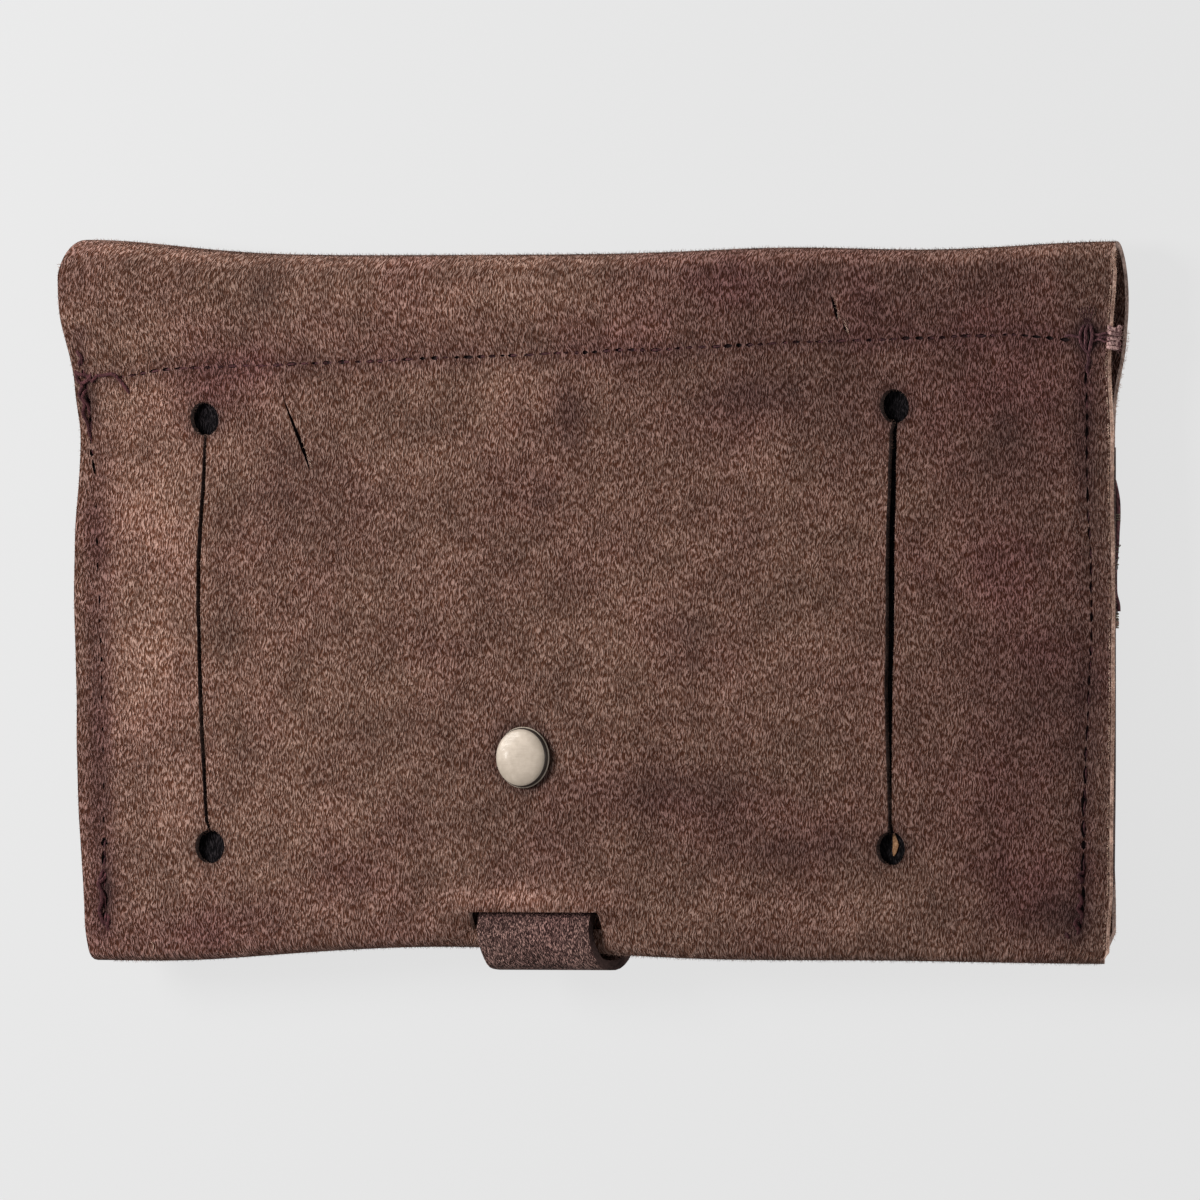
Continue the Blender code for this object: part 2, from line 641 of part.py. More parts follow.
def make_snap(finish):
    flap_face = -SWELL_IN
    strap_outer = STRAP_SNAP_MID - STRAP_LEATHER / 2
    strap_inner = STRAP_SNAP_MID + STRAP_LEATHER / 2
    cap_face = strap_outer - GAP
    post_length = strap_inner + GAP + SOCKET_FLANGE - cap_face
    cap = turned("snap_cap", cap_profile(SNAP_POST, post_length), (STRAP_X, SNAP_HEIGHT, cap_face),
                 finish)
    cap.rotation_euler = (math.pi, 0, 0)
    bore = STUD_KNOB + GAP
    socket = [(SNAP_POST + GAP, 0), (SOCKET_RADIUS, 0), (SOCKET_RADIUS, SOCKET_FLANGE),
              (bore + SOCKET_WALL, SOCKET_FLANGE),
              (bore + SOCKET_WALL, SOCKET_FLANGE + SOCKET_WALL_HEIGHT),
              (bore, SOCKET_FLANGE + SOCKET_WALL_HEIGHT), (bore, SOCKET_FLANGE),
              (SNAP_POST + GAP, SOCKET_FLANGE)]
    turned("snap_socket", socket, (STRAP_X, SNAP_HEIGHT, strap_inner + GAP), finish)
    hole = EYELET_BARREL + GAP
    stud = [(hole, 0), (STUD_RADIUS, 0), (STUD_RADIUS, -STUD_FLANGE), (STUD_KNOB, -STUD_FLANGE),
            (STUD_KNOB, -STUD_FLANGE - STUD_KNOB_HEIGHT), (hole, -STUD_FLANGE - STUD_KNOB_HEIGHT)]
    turned("snap_stud", stud, (STRAP_X, SNAP_HEIGHT, flap_face - GAP), finish)
    barrel = LEATHER + GAP + STUD_FLANGE
    eyelet = [(0, 0), (EYELET_RADIUS, 0), (EYELET_RADIUS, -EYELET_THICK),
              (EYELET_BARREL, -EYELET_THICK), (EYELET_BARREL, -barrel), (0, -barrel)]
    turned("snap_eyelet", eyelet, (STRAP_X, SNAP_HEIGHT, flap_face + LEATHER), finish)


# Beaded strip

def ridged_strip(name, left, right, finish):
    """Rows of small beads side by side: a strip with one rounded ridge for each row."""
    start = STRIP_MIDDLE - BEAD_ROWS * BEAD_ROW / 2
    outer = -GAP - BEAD_STRIP_THICK
    profile = [(start, -GAP)]
    for row in range(BEAD_ROWS):
        for k in range(RIDGE_STEPS):
            turn = math.pi * k / RIDGE_STEPS
            y = start + BEAD_ROW * (row + (1 - math.cos(turn)) / 2)
            profile.append((y, outer + BEAD_GROOVE * (1 - math.sin(turn))))
    end_of_rows = start + BEAD_ROWS * BEAD_ROW
    profile += [(end_of_rows, outer + BEAD_GROOVE), (end_of_rows, -GAP)]
    bm = bmesh.new()
    left_end = bm.faces.new([bm.verts.new((left, y, z)) for y, z in profile])
    far = bmesh.ops.extrude_face_region(bm, geom=[left_end])
    moved = [v for v in far["geom"] if isinstance(v, bmesh.types.BMVert)]
    bmesh.ops.translate(bm, verts=moved, vec=(right - left, 0, 0))
    bmesh.ops.recalc_face_normals(bm, faces=bm.faces)
    return add_object(name, bm, finish)


def stepped_diamond(middle_x, grow):
    """Outline of a diamond that steps by one bead in every row."""
    right_side = []
    for row in range(-DIAMOND_ROWS, DIAMOND_ROWS + 1):
        reach = (DIAMOND_ROWS + 1 - abs(row)) * BEAD_PITCH + grow
        low = STRIP_MIDDLE + (row - 0.5) * BEAD_ROW + (grow if row > 0 else -grow)
        high = STRIP_MIDDLE + (row + 0.5) * BEAD_ROW + (grow if row >= 0 else -grow)
        right_side += [(reach, low), (reach, high)]
    left_side = [(-x, y) for x, y in reversed(right_side)]
    return [(middle_x + x, y) for x, y in right_side + left_side]


def make_bead_strip(ground, accent, edge):
    field = ridged_strip("bead_strip_ground", -STRIP_HALF, STRIP_HALF, ground)
    low = -GAP - BEAD_STRIP_THICK - CUT_REACH
    high = 0.0
    for number in range(DIAMOND_COUNT):
        middle_x = (number - (DIAMOND_COUNT - 1) / 2) * DIAMOND_SPACING
        hollow = stepped_diamond(middle_x, GAP / 2)
        cut(field, prism(f"cut_diamond_{number + 1}", hollow, low, high))
        reach = (DIAMOND_ROWS + 2) * BEAD_PITCH
        inlay = ridged_strip(f"bead_diamond_{number + 1}", middle_x - reach, middle_x + reach, accent)
        filled = stepped_diamond(middle_x, -GAP / 2)
        cut(inlay, prism(f"keep_diamond_{number + 1}", filled, low, high), "INTERSECT")
    for name, y in (("bead_edge_lower", STRIP_BOTTOM + EDGE_BEAD),
                    ("bead_edge_upper", STRIP_BOTTOM + STRIP_HEIGHT - EDGE_BEAD)):
        bm = bmesh.new()
        turn = Matrix.Rotation(math.pi / 2, 4, "Y")
        bmesh.ops.create_cone(bm, cap_ends=True, segments=EDGE_BEAD_STEPS, radius1=EDGE_BEAD,
                              radius2=EDGE_BEAD, depth=2 * STRIP_HALF, matrix=turn)
        piece = add_object(name, bm, edge)
        piece.location = (0, y, -GAP - EDGE_BEAD)


# Placing the finished bag on the ground

def lay_down(rest_frame):
    """Tip the bag on to its top fold and its snap, and centre it over the origin."""
    snap_low = STRAP_SNAP_MID - STRAP_LEATHER / 2 - GAP - CAP_RIM - CAP_DOME
    fold_contact = TOP - FOLD_LOWEST
    rest_frame.rotation_euler.x = -math.atan2(-FOLD_DROP - snap_low, fold_contact - SNAP_HEIGHT)
    bpy.context.view_layer.update()
    graph = bpy.context.evaluated_depsgraph_get()
    corners = []
    for thing in bpy.context.scene.objects:
        if thing.type == "MESH" and not thing.hide_render:
            shown = thing.evaluated_get(graph)
            corners += [shown.matrix_world @ v.co for v in shown.data.vertices]
    low = [min(c[axis] for c in corners) for axis in range(3)]
    high = [max(c[axis] for c in corners) for axis in range(3)]
    rest_frame.location = (-(low[0] + high[0]) / 2, -(low[1] + high[1]) / 2, -low[2])


def build():
    clear_scene()
    nickel = material("aged_nickel")
    make_folded_sheet(material("brown_suede"))
    make_lining(material("lining_suede"))
    make_strap(material("strap_suede"))
    make_rivet(nickel)
    make_snap(nickel)
    make_bead_strip(material("dark_glass_bead"), material("light_glass_bead"), material("red_glass_bead"))

    rest_frame = bpy.data.objects.new("rest_frame", None)
    bpy.context.scene.collection.objects.link(rest_frame)
    for thing in list(bpy.context.scene.objects):
        if thing is not rest_frame:
            thing.parent = rest_frame
    lay_down(rest_frame)


build()
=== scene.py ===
# %% [markdown]
# # A suede belt pouch with a beaded strip
#
# The pouch lies on its front, so this lesson looks at its back: one soft brown hide that is folded
# into pocket, back and flap, two belt slits, a domed rivet cap, a strap that comes out of a slot and
# round the bottom fold, and dark sewing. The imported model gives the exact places. Here every leather
# piece is made again as a fine mesh, and gets nap, stitches, worn cut edges and beads.

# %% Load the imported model
import math
import random

import bmesh
import bpy
from mathutils import Matrix, Vector, noise


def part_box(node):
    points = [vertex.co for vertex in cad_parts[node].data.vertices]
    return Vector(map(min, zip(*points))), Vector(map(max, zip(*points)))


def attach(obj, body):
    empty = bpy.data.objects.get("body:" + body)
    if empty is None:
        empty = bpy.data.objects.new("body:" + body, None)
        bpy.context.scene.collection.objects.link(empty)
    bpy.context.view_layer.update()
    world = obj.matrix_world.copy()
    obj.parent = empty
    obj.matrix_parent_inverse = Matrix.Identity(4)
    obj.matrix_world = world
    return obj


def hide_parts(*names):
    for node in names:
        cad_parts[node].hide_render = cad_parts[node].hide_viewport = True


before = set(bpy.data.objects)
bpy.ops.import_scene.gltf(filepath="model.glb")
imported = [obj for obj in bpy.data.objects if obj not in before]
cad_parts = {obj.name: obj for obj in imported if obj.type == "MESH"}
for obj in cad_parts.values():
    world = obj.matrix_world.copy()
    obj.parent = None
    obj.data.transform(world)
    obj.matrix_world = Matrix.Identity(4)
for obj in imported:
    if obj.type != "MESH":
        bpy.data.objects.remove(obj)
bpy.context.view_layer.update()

# %% [markdown]
# ## The pouch's own frame
#
# It is easiest to draw the pouch flat: X across it, Y up from the bottom fold, Z from the flap's
# outer face up to the back. The real one lies a little tipped, on its top fold and its snap. The
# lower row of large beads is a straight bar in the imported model, so its box gives the shift that
# belongs to the tilt.

# %% Measures of the pouch
MM = 0.001
LEATHER = 1.4 * MM
LINING = 0.9 * MM
STRAP_LEATHER = 2.0 * MM
GAP = 0.3 * MM
POCKET_SLACK = 0.5 * MM

HALF_WIDTH = 122.1 * MM
TOP = 143.7 * MM
POCKET_INSET = 1.4 * MM
FLAP_INSET = 2.0 * MM
FOLD_INSET = 2.4 * MM
LINING_INSET = 3.0 * MM
FOLD_DROP = 3.4 * MM
FOLD_LOWEST = 15.4 * MM
FOLD_FLAT = 5.0 * MM
FOLD_PINCH = 35.4 * MM
FOLD_FOOT = 40.4 * MM
POCKET_MOUTH = 104.3 * MM
FLAP_END = 3.2 * MM
FLAP_CORNER = 1.6 * MM
POCKET_CORNER = 1.9 * MM
LINING_BOTTOM = 12.0 * MM
LINING_ABOVE_SEAM = 4.5 * MM
SLIT_HOLE = 6.9 * MM
STRAP_X = -11.7 * MM
STRAP_WIDTH = 26.5 * MM
STRAP_INNER_END = 49.3 * MM
STRAP_TIP = 38.3 * MM
SLOT_X = -13.3 * MM
SLOT_WIDTH = 31.0 * MM
SLOT_TOP = 10.4 * MM
SLOT_HEIGHT = 3.8 * MM
SLOT_BOTTOM = SLOT_TOP - SLOT_HEIGHT
SLOT_CLOSED = 0.35 * MM  # the upper lip sags this far into the slot
RIVET = Vector((-15.7 * MM, 41.5 * MM))
SNAP_HEIGHT = 28.3 * MM
SNAP_STANDOFF = 2.0 * MM
CAP_RADIUS = 6.25 * MM
CAP_RIM = 0.5 * MM
CAP_DOME = 1.3 * MM
CAP_SUNK = 0.35 * MM
EDGE_BEAD = 1.0 * MM
STRIP_BOTTOM = 67.8 * MM
BEAD_ROWS = 15
BEAD_ROW = 1.53 * MM
BEAD_PITCH = 1.6 * MM

# Middle levels of the layers
FLAP_MID = LEATHER / 2
POCKET_MID = LEATHER + GAP + LEATHER / 2
LINING_MID = POCKET_MID + LEATHER / 2 + POCKET_SLACK + LINING / 2
BACK_MID = LINING_MID + LINING / 2 + GAP + LEATHER / 2
BACK_FACE = BACK_MID + LEATHER / 2
SWELL_OUT = 1.0 * MM
SWELL_IN = STRAP_LEATHER + GAP - SWELL_OUT
STRAP_INNER_MID = BACK_MID + SWELL_OUT - LEATHER / 2 - GAP - STRAP_LEATHER / 2
STRAP_SNAP_MID = -SWELL_IN - SNAP_STANDOFF - STRAP_LEATHER / 2
FOLD_LOW_MID = LEATHER / 2 - FOLD_DROP

# %% Where the tipped pouch lies
snap_low = STRAP_SNAP_MID - STRAP_LEATHER / 2 - GAP - CAP_RIM - CAP_DOME
tilt = -math.atan2(-FOLD_DROP - snap_low, TOP - FOLD_LOWEST - SNAP_HEIGHT)
TURN = Matrix.Rotation(tilt, 4, "X")
bar_low, bar_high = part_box("bead_edge_lower")
bar_middle = (Vector(bar_low) + Vector(bar_high)) / 2
shift = bar_middle - TURN @ Vector((0, STRIP_BOTTOM + EDGE_BEAD, -GAP - EDGE_BEAD))
PLACE = Matrix.Translation(shift) @ TURN
print("tilt", round(math.degrees(tilt), 3), "shift in mm", [round(v / MM, 3) for v in shift])

# %% [markdown]
# ## Camera, floor and light
#
# The photograph looks down on the back from 31 degrees to its right, from so far away that the left
# and the right end have the same size. A long lens does that. The light is a large soft one at the
# upper left, close enough to fade towards the right. A weak fill comes from the other side, a low one
# from the right, and a tiny one makes the glint on the rivet's cap.

# %% Camera
PHOTO_SIDE = 0.2436
LENS = 1500.0
SENSOR = 36.0
VIEW_ANGLE = math.radians(31)
AIM = PLACE @ Vector((1.9 * MM, 73.5 * MM, BACK_FACE))
away = TURN @ Vector((math.sin(VIEW_ANGLE), 0, math.cos(VIEW_ANGLE)))
up = TURN @ Vector((0, 1, 0))
distance = PHOTO_SIDE * LENS / SENSOR

camera = bpy.data.objects.new("camera", bpy.data.cameras.new("camera"))
camera.data.lens = LENS
camera.data.sensor_width = SENSOR
camera.data.clip_end = 100
right = up.cross(away).normalized()
basis = Matrix((right, up, away)).transposed().to_4x4()
camera.matrix_world = Matrix.Translation(AIM + away * distance) @ basis
bpy.context.scene.collection.objects.link(camera)
bpy.context.scene.camera = camera
print("camera stands", round(distance, 2), "m away")


# %% [markdown]
# ## Small helpers for materials
#
# A material in Blender is a net of nodes. Adding, setting and linking each one by hand takes many
# lines, so a few short functions do it here. Each takes plain values or another node's output, and
# gives back the new node's output, so that a whole finish reads like a formula.

# %% Node helpers
def fill(tree, node, inputs):
    """Sets a node's inputs, each to a plain value or to another node's output."""
    for name, value in inputs.items():
        if isinstance(value, bpy.types.NodeSocket):
            tree.links.new(value, node.inputs[name])
        else:
            node.inputs[name].default_value = value


def add_node(tree, kind, inputs=None, **settings):
    """The outputs of a new node."""
    made = tree.nodes.new(kind)
    for name, value in settings.items():
        setattr(made, name, value)
    fill(tree, made, inputs or {})
    return made.outputs


def math_node(tree, operation, first, second=0.0, clamp=False):
    return add_node(tree, "ShaderNodeMath", {0: first, 1: second}, operation=operation,
                    use_clamp=clamp)[0]


def mix_colour(tree, share, first, second, blend="MIX"):
    return add_node(tree, "ShaderNodeMix", {0: share, 6: first, 7: second}, data_type="RGBA",
                    blend_type=blend)[2]


def tinted(tree, coat, share, first, second):
    """The coat multiplied by a colour that lies between first and second."""
    return mix_colour(tree, 1.0, coat, mix_colour(tree, share, first, second), "MULTIPLY")


def spread(tree, value, low, high, new_low=0.0, new_high=1.0):
    """The value's range from low to high, stretched to another range."""
    return add_node(tree, "ShaderNodeMapRange",
                    {0: value, 1: low, 2: high, 3: new_low, 4: new_high})[0]


def noise_node(tree, vector, scale, detail=2.0, roughness=0.5, output=0):
    return add_node(tree, "ShaderNodeTexNoise", {"Vector": vector, "Scale": scale, "Detail": detail,
                                                 "Roughness": roughness})[output]


def stretched(tree, vector, turn, scale):
    """The vector turned about Z and scaled, so that a noise read there runs in strands."""
    return add_node(tree, "ShaderNodeMapping",
                    {"Vector": vector, "Rotation": (0, 0, turn), "Scale": scale})[0]


def bump_node(tree, height, distance):
    """A bump whose full height is this distance in mm."""
    return add_node(tree, "ShaderNodeBump",
                    {"Strength": 1.0, "Distance": distance * MM, "Height": height})[0]


def new_finish(name):
    finish = bpy.data.materials.new(name)
    finish.use_nodes = True
    return finish, finish.node_tree, finish.node_tree.nodes["Principled BSDF"]


# %% Floor and lights
FLOOR_GLOW = 0.727
SKY_LIGHT = 0.24
floor_bm = bmesh.new()
bmesh.ops.create_grid(floor_bm, x_segments=1, y_segments=1, size=3.0)
floor_mesh = bpy.data.meshes.new("floor")
floor_bm.to_mesh(floor_mesh)
floor_bm.free()
floor = bpy.data.objects.new("floor", floor_mesh)
bpy.context.scene.collection.objects.link(floor)
finish, tree, shader = new_finish("pale_floor")
fill(tree, shader, {"Base Color": (0.05, 0.05, 0.05, 1), "Roughness": 1.0,
                    "Specular IOR Level": 0.0, "Emission Color": (1, 1, 1, 1),
                    "Emission Strength": FLOOR_GLOW})
floor_mesh.materials.append(finish)

world = bpy.data.worlds.new("studio")
world.use_nodes = True
fill(world.node_tree, world.node_tree.nodes["Background"],
     {"Color": (0.95, 0.97, 1.0, 1), "Strength": SKY_LIGHT})
bpy.context.scene.world = world
bpy.context.scene.view_settings.view_transform = "Standard"


def soft_light(name, place, aim, size, power):
    light = bpy.data.objects.new(name, bpy.data.lights.new(name, "AREA"))
    light.data.shape = "DISK"
    light.data.size = size
    light.data.energy = power
    light.location = place
    light.rotation_euler = (Vector(aim) - Vector(place)).to_track_quat("-Z", "Y").to_euler()
    bpy.context.scene.collection.objects.link(light)
    print(f"{name}: {power} W, {size} m across")


soft_light("key", (-0.45, 0.17, 0.41), (-0.02, 0.0, 0), 0.30, 6.0)
soft_light("fill", (0.7, -0.5, 0.9), (0, 0, 0), 0.8, 1.2)
soft_light("rim", (0.85, 0.10, 0.22), (0.1, 0, 0), 0.4, 1.3)
soft_light("glint", (-0.64, 0.02, 0.75), (RIVET.x, -0.03, 0), 0.02, 0.7)

# %% [markdown]
# ## The shape of the hide
#
# One sheet of suede makes the pocket wall, the bottom fold, the back panel, the rolled top fold and
# the flap. Its outline and its levels are smooth functions of the place on the bag, the same ones
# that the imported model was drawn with, so both fit each other.


# %% Outline
def smooth(t):
    t = min(1.0, max(0.0, t))
    return t * t * (3 - 2 * t)


def ramp(value, start, end):
    return smooth((value - start) / (end - start))


def bell(value, middle, width):
    return math.exp(-((value - middle) / width) ** 2 / 2)


def rise(value, start, end):
    """A smooth step from 0 to 1 between two places in mm."""
    return ramp(value, start * MM, end * MM)


def hump(value, middle, width):
    """A bell whose middle and width are in mm."""
    return bell(value, middle * MM, width * MM)


def top_line(x):
    left = 3.4 * bell(x, -HALF_WIDTH, 21.5 * MM)
    right_rise = 2.2 * bell(x, HALF_WIDTH, 24 * MM)
    return TOP + MM * (left + right_rise + 1.2 * hump(x, 45, 20))


def bottom_line(x):
    small = 0.5 * hump(x, 66, 24) - 0.5 * hump(x, -100, 14)
    return MM * (2.95 * hump(x, -36, 34) + small)


def left_edge(y):
    flare = 2.5 * rise(y, 105, 134)
    taper = 1.9 * (1 - rise(y, 0, 45)) + 0.6 * (1 - rise(y, 0, 4))
    sway = 1.8 * hump(y, 122.5, 5.5) - 0.8 * hump(y, 75, 11)
    sway -= 0.65 * rise(y, 2, 8) * (1 - rise(y, 86, 104))
    return -HALF_WIDTH + MM * (taper + sway - flare)


def right_flare(y):
    """How far the right edge swings out towards its top corner, in mm."""
    return 1.6 * rise(y, 116, 143)


def right_corner(y):
    """How far the right edge is cut back towards its bottom corner, in mm."""
    return 0.7 * (1 - rise(y, 4, 16))


def right_edge(y):
    taper = 0.4 * (1 - rise(y, 0, 45)) + right_corner(y)
    return HALF_WIDTH + MM * (right_flare(y) - taper)


def flap_inset(y):
    """How far the flap's side edges lie inside the back's. The flap has its own flare and hollow,
    stays straight where the back is cut back, and its lower corners are cut."""
    hollow = 0.6 * rise(y, 10, 30) + 0.8 * hump(y, 52, 17)
    flare = 1.6 * rise(y, 105, 134) - right_flare(y) + right_corner(y)
    return FLAP_INSET + MM * (hollow - flare) + FLAP_CORNER * (1 - ramp(y, FLAP_END, 4.7 * MM))


def pocket_inset(y):
    return POCKET_INSET + POCKET_CORNER * (1 - rise(y, 6, 16))


def seam_line(x):
    return 123.9 * MM + 0.0337 * x


# %% Levels
def fold_raise(x):
    return MM * (1.6 + 3.0 * ramp(-x, 75 * MM, HALF_WIDTH))


def strap_swell(x, y):
    start = STRAP_WIDTH / 2 + 2 * MM
    crest = STRAP_INNER_END + 2 * MM
    across = 1 - ramp(abs(x - STRAP_X), start, start + 22 * MM)
    return across * (1 - ramp(y, crest, crest + 16 * MM))


def slot_bell(x):
    return 1 - ramp(abs(x - SLOT_X), SLOT_WIDTH / 2 - 2 * MM, SLOT_WIDTH / 2 + 5 * MM)


def front_drop(x, y):
    return SWELL_IN * strap_swell(x, y) * rise(y, 5, 10.4)


def back_lift(x, y):
    top = top_line(x)
    lift = fold_raise(x) * ramp(y, top - FOLD_FOOT, top - FOLD_LOWEST - FOLD_FLAT)
    swell = SWELL_OUT * strap_swell(x, y)
    above = swell + 0.8 * MM * slot_bell(x) * (1 - ramp(y, SLOT_TOP, SLOT_TOP + 9 * MM))
    foot = ramp(y, bottom_line(x), SLOT_BOTTOM)
    below = (swell * (1 - slot_bell(x)) - 1.0 * MM * slot_bell(x)) * foot
    mix = min(1.0, max(0.0, (y - SLOT_BOTTOM) / SLOT_HEIGHT))
    return lift + below * (1 - mix) + above * mix


# %% [markdown]
# ## Small relief of used suede
#
# A used hide is never flat. It swells softly between its seams, sinks where the thread pulls it
# down, and lies lower round the rivet. All of it is a fraction of a millimetre, but light from the
# side shows it.

# %% Seams and relief
SLITS = {
    "left": {"top": Vector((-91.8, 110.4)) * MM, "bottom": Vector((-90.9, 23.2)) * MM,
             "width": 0.85 * MM, "sway": (-0.5, -2.1, -1.3), "narrowing": 1.0},
    "right": {"top": Vector((71.8, 112.7)) * MM, "bottom": Vector((70.5, 23.2)) * MM,
              "width": 1.9 * MM, "sway": (-1.0, -0.9, -0.3), "narrowing": 0.5},
}
SEAM_DENT = 0.42
RIVET_DENT = 0.28
LIP_RISE = 0.22


def wobble(value, size, seed):
    """Smooth noise from -1 to 1 along one direction."""
    return noise.noise(Vector((value / size, seed * 7.31, seed * 1.7)))


def top_seam(x):
    """Height of the top seam, which dips before both corners."""
    return (seam_line(x) - 1.9 * MM * rise(x, 98, 117) - 1.0 * MM * rise(-x, 99, 112)
            + 0.35 * MM * wobble(x, 9 * MM, 1))


def right_seam(y):
    drift = 1.5 * hump(y, 66, 16) + 0.6 * rise(y, 60, 90) + 0.8 * rise(y, 106, 122)
    return MM * (115.6 + drift - 0.8 * (1 - rise(y, 7, 16)) + 0.35 * wobble(y, 8 * MM, 2))


def left_seam(y):
    drift = 1.9 * rise(y, 25, 100) + 1.2 * rise(y, 96, 106)
    return -MM * (116.4 + drift - 0.45 * wobble(y, 11 * MM, 3))


def seam_pull(x, y):
    """How far the thread pulls the hide down here, from 0 to 1."""
    top = bell(y, top_seam(x), 1.7 * MM) * (0.75 + 0.25 * wobble(x, 2.2 * MM, 4))
    side = 0.0
    if y < 130 * MM:
        side = max(bell(x, right_seam(y), 1.5 * MM), bell(x, left_seam(y), 1.5 * MM))
    return max(top, side * rise(y, 2, 7))


def across_hide(x, y):
    """Where the column that starts at x in the flat hide really stands at this height."""
    left = left_edge(y)
    return left + (right_edge(y) - left) * (x + HALF_WIDTH) / (2 * HALF_WIDTH)


def back_relief(x, y):
    swelling = 0.42 * noise.noise(Vector((x * 38, y * 38, 1.3)))
    swelling += 0.20 * noise.noise(Vector((x, y, 0)) * 110)
    low = SEAM_DENT * seam_pull(x, y)
    rivet = RIVET_DENT * hump((Vector((x, y)) - RIVET).length, 6, 3)
    lip = 0.0
    for slit in SLITS.values():
        low_end, high_end = slit["bottom"].y, slit["top"].y
        inside = ramp(y, low_end - 3 * MM, low_end) * ramp(-y, -high_end - 3 * MM, -high_end)
        lip += LIP_RISE * hump(abs(x - slit["top"].x), 1.6, 1.4) * inside
    return MM * (swelling + lip - low - rivet)


print("relief over the seam in mm:", round(back_relief(0, top_seam(0)) / MM, 2))


# %% Path of the hide
POCKET_STEPS = 28
BOTTOM_STEPS = 8
BACK_STEPS = 82
ROLL_STEPS = 9
UNDER_STEPS = 14
PINCH_STEPS = 9
FLAP_STEPS = 34
HIDE_COLUMNS = 165
ROLL_SHARE = 0.52
ROLL_LEAN = 2 / 1.6


def hide_path(x):
    """Middle line of the hide at x, as (y, z, inset), from the pocket's mouth to the flap's end."""
    fold_radius = (BACK_MID - POCKET_MID) / 2
    fold_centre = bottom_line(x) + LEATHER / 2 + fold_radius
    top = top_line(x)
    back_top = BACK_MID + fold_raise(x)
    roll = ROLL_SHARE * (back_top - FOLD_LOW_MID)
    nose = top - LEATHER / 2
    nose_z = back_top - roll
    lowest = top - FOLD_LOWEST
    pinch = top - FOLD_PINCH
    path = []
    for k in range(POCKET_STEPS):
        y = POCKET_MOUTH + (fold_centre - POCKET_MOUTH) * k / POCKET_STEPS
        path.append((y, POCKET_MID - front_drop(x, y), pocket_inset(y)))
    for k in range(BOTTOM_STEPS):
        turn = math.pi * k / BOTTOM_STEPS
        corner = (1 - k / BOTTOM_STEPS) ** (2.5 if x < 0 else 1)
        path.append((fold_centre - fold_radius * math.sin(turn),
                     (BACK_MID + POCKET_MID) / 2 - fold_radius * math.cos(turn),
                     pocket_inset(fold_centre) * corner))
    for start, end, steps in ((fold_centre, SLOT_BOTTOM, 3), (SLOT_BOTTOM, SLOT_TOP, 3),
                              (SLOT_TOP, nose - roll, BACK_STEPS)):
        for k in range(steps):
            y = start + (end - start) * k / steps
            lift = back_relief(across_hide(x, y), y) * rise(y, 3, 9)
            lift *= ramp(-y, -nose + roll, -nose + roll + 9 * MM)
            path.append((y, BACK_MID + back_lift(x, y) + lift, 0))
    for k in range(ROLL_STEPS):
        turn = math.pi / 2 * k / ROLL_STEPS
        path.append((nose - roll + roll * math.sin(turn), nose_z + roll * math.cos(turn),
                     FOLD_INSET * k / ROLL_STEPS))
    for k in range(UNDER_STEPS + 1):
        turn = math.pi / 2 * k / UNDER_STEPS
        path.append((lowest + (nose - lowest) * max(0.0, math.cos(turn)) ** ROLL_LEAN,
                     nose_z + (FOLD_LOW_MID - nose_z) * math.sin(turn) ** ROLL_LEAN, FOLD_INSET))
    for k in range(PINCH_STEPS):
        t = k / PINCH_STEPS
        path.append((lowest - FOLD_FLAT + (pinch - lowest + FOLD_FLAT) * t,
                     FOLD_LOW_MID + (FLAP_MID - FOLD_LOW_MID) * smooth(t),
                     FOLD_INSET + (flap_inset(pinch) - FOLD_INSET) * t))
    for k in range(FLAP_STEPS + 1):
        y = pinch + (FLAP_END - pinch) * k / FLAP_STEPS
        path.append((y, FLAP_MID - front_drop(x, y), flap_inset(y)))
    return path


print("rows in the hide's path:", len(hide_path(0)))


# %% [markdown]
# ## From a grid to a sheet
#
# A grid from bmesh is laid over the path: each column of it stands at one place across the bag, and
# each row is one point of the path. The length along the path and the place across are kept in a UV
# map, in metres, so that the nap can follow the hide round its folds.


# %% Sheet helpers
def keep_flat(bm, flat):
    """Writes the flat place of each point, in metres, into the UV map that the nap reads."""
    uv = bm.loops.layers.uv.new("hide")
    for face in bm.faces:
        for loop in face.loops:
            loop[uv].uv = flat[loop.vert]


def laid_sheet(path_of, columns, edges, level_row=0):
    """A grid whose rows follow path_of(x), with the flat place of each point in a UV map. Along a
    column the map runs at the hide's true length, and at level_row all columns are level."""
    bm = bmesh.new()
    places = [-HALF_WIDTH + 2 * HALF_WIDTH * k / columns for k in range(columns + 1)]
    paths = [path_of(x) for x in places]
    rows = len(paths[0])
    bmesh.ops.create_grid(bm, x_segments=columns, y_segments=rows - 1, size=0.5)
    lengths = []
    for path in paths:
        run = [0.0]
        for a, b in zip(path, path[1:]):
            run.append(run[-1] + math.hypot(b[0] - a[0], b[1] - a[1]))
        lengths.append(run)
    middle = lengths[columns // 2]
    flat = {}
    for vert in bm.verts:
        column = round((vert.co.x + 0.5) * columns)
        row = round((vert.co.y + 0.5) * (rows - 1))
        y, z, inset = paths[column][row]
        share = column / columns
        left, right_side = edges(y)
        vert.co = (left + inset + (right_side - left - 2 * inset) * share, y, z)
        run = middle[level_row] + lengths[column][row] - lengths[column][level_row]
        flat[vert] = (places[column], run)
    keep_flat(bm, flat)
    return bm, middle[-1]


# %% [markdown]
# A modifier keeps a draft simple: Solidify gives a sheet its thickness, and a Boolean cuts holes in
# it. The result is then read back as a plain mesh, painted, and moved to where the pouch lies. Each
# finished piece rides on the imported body, and prints how large it came out.

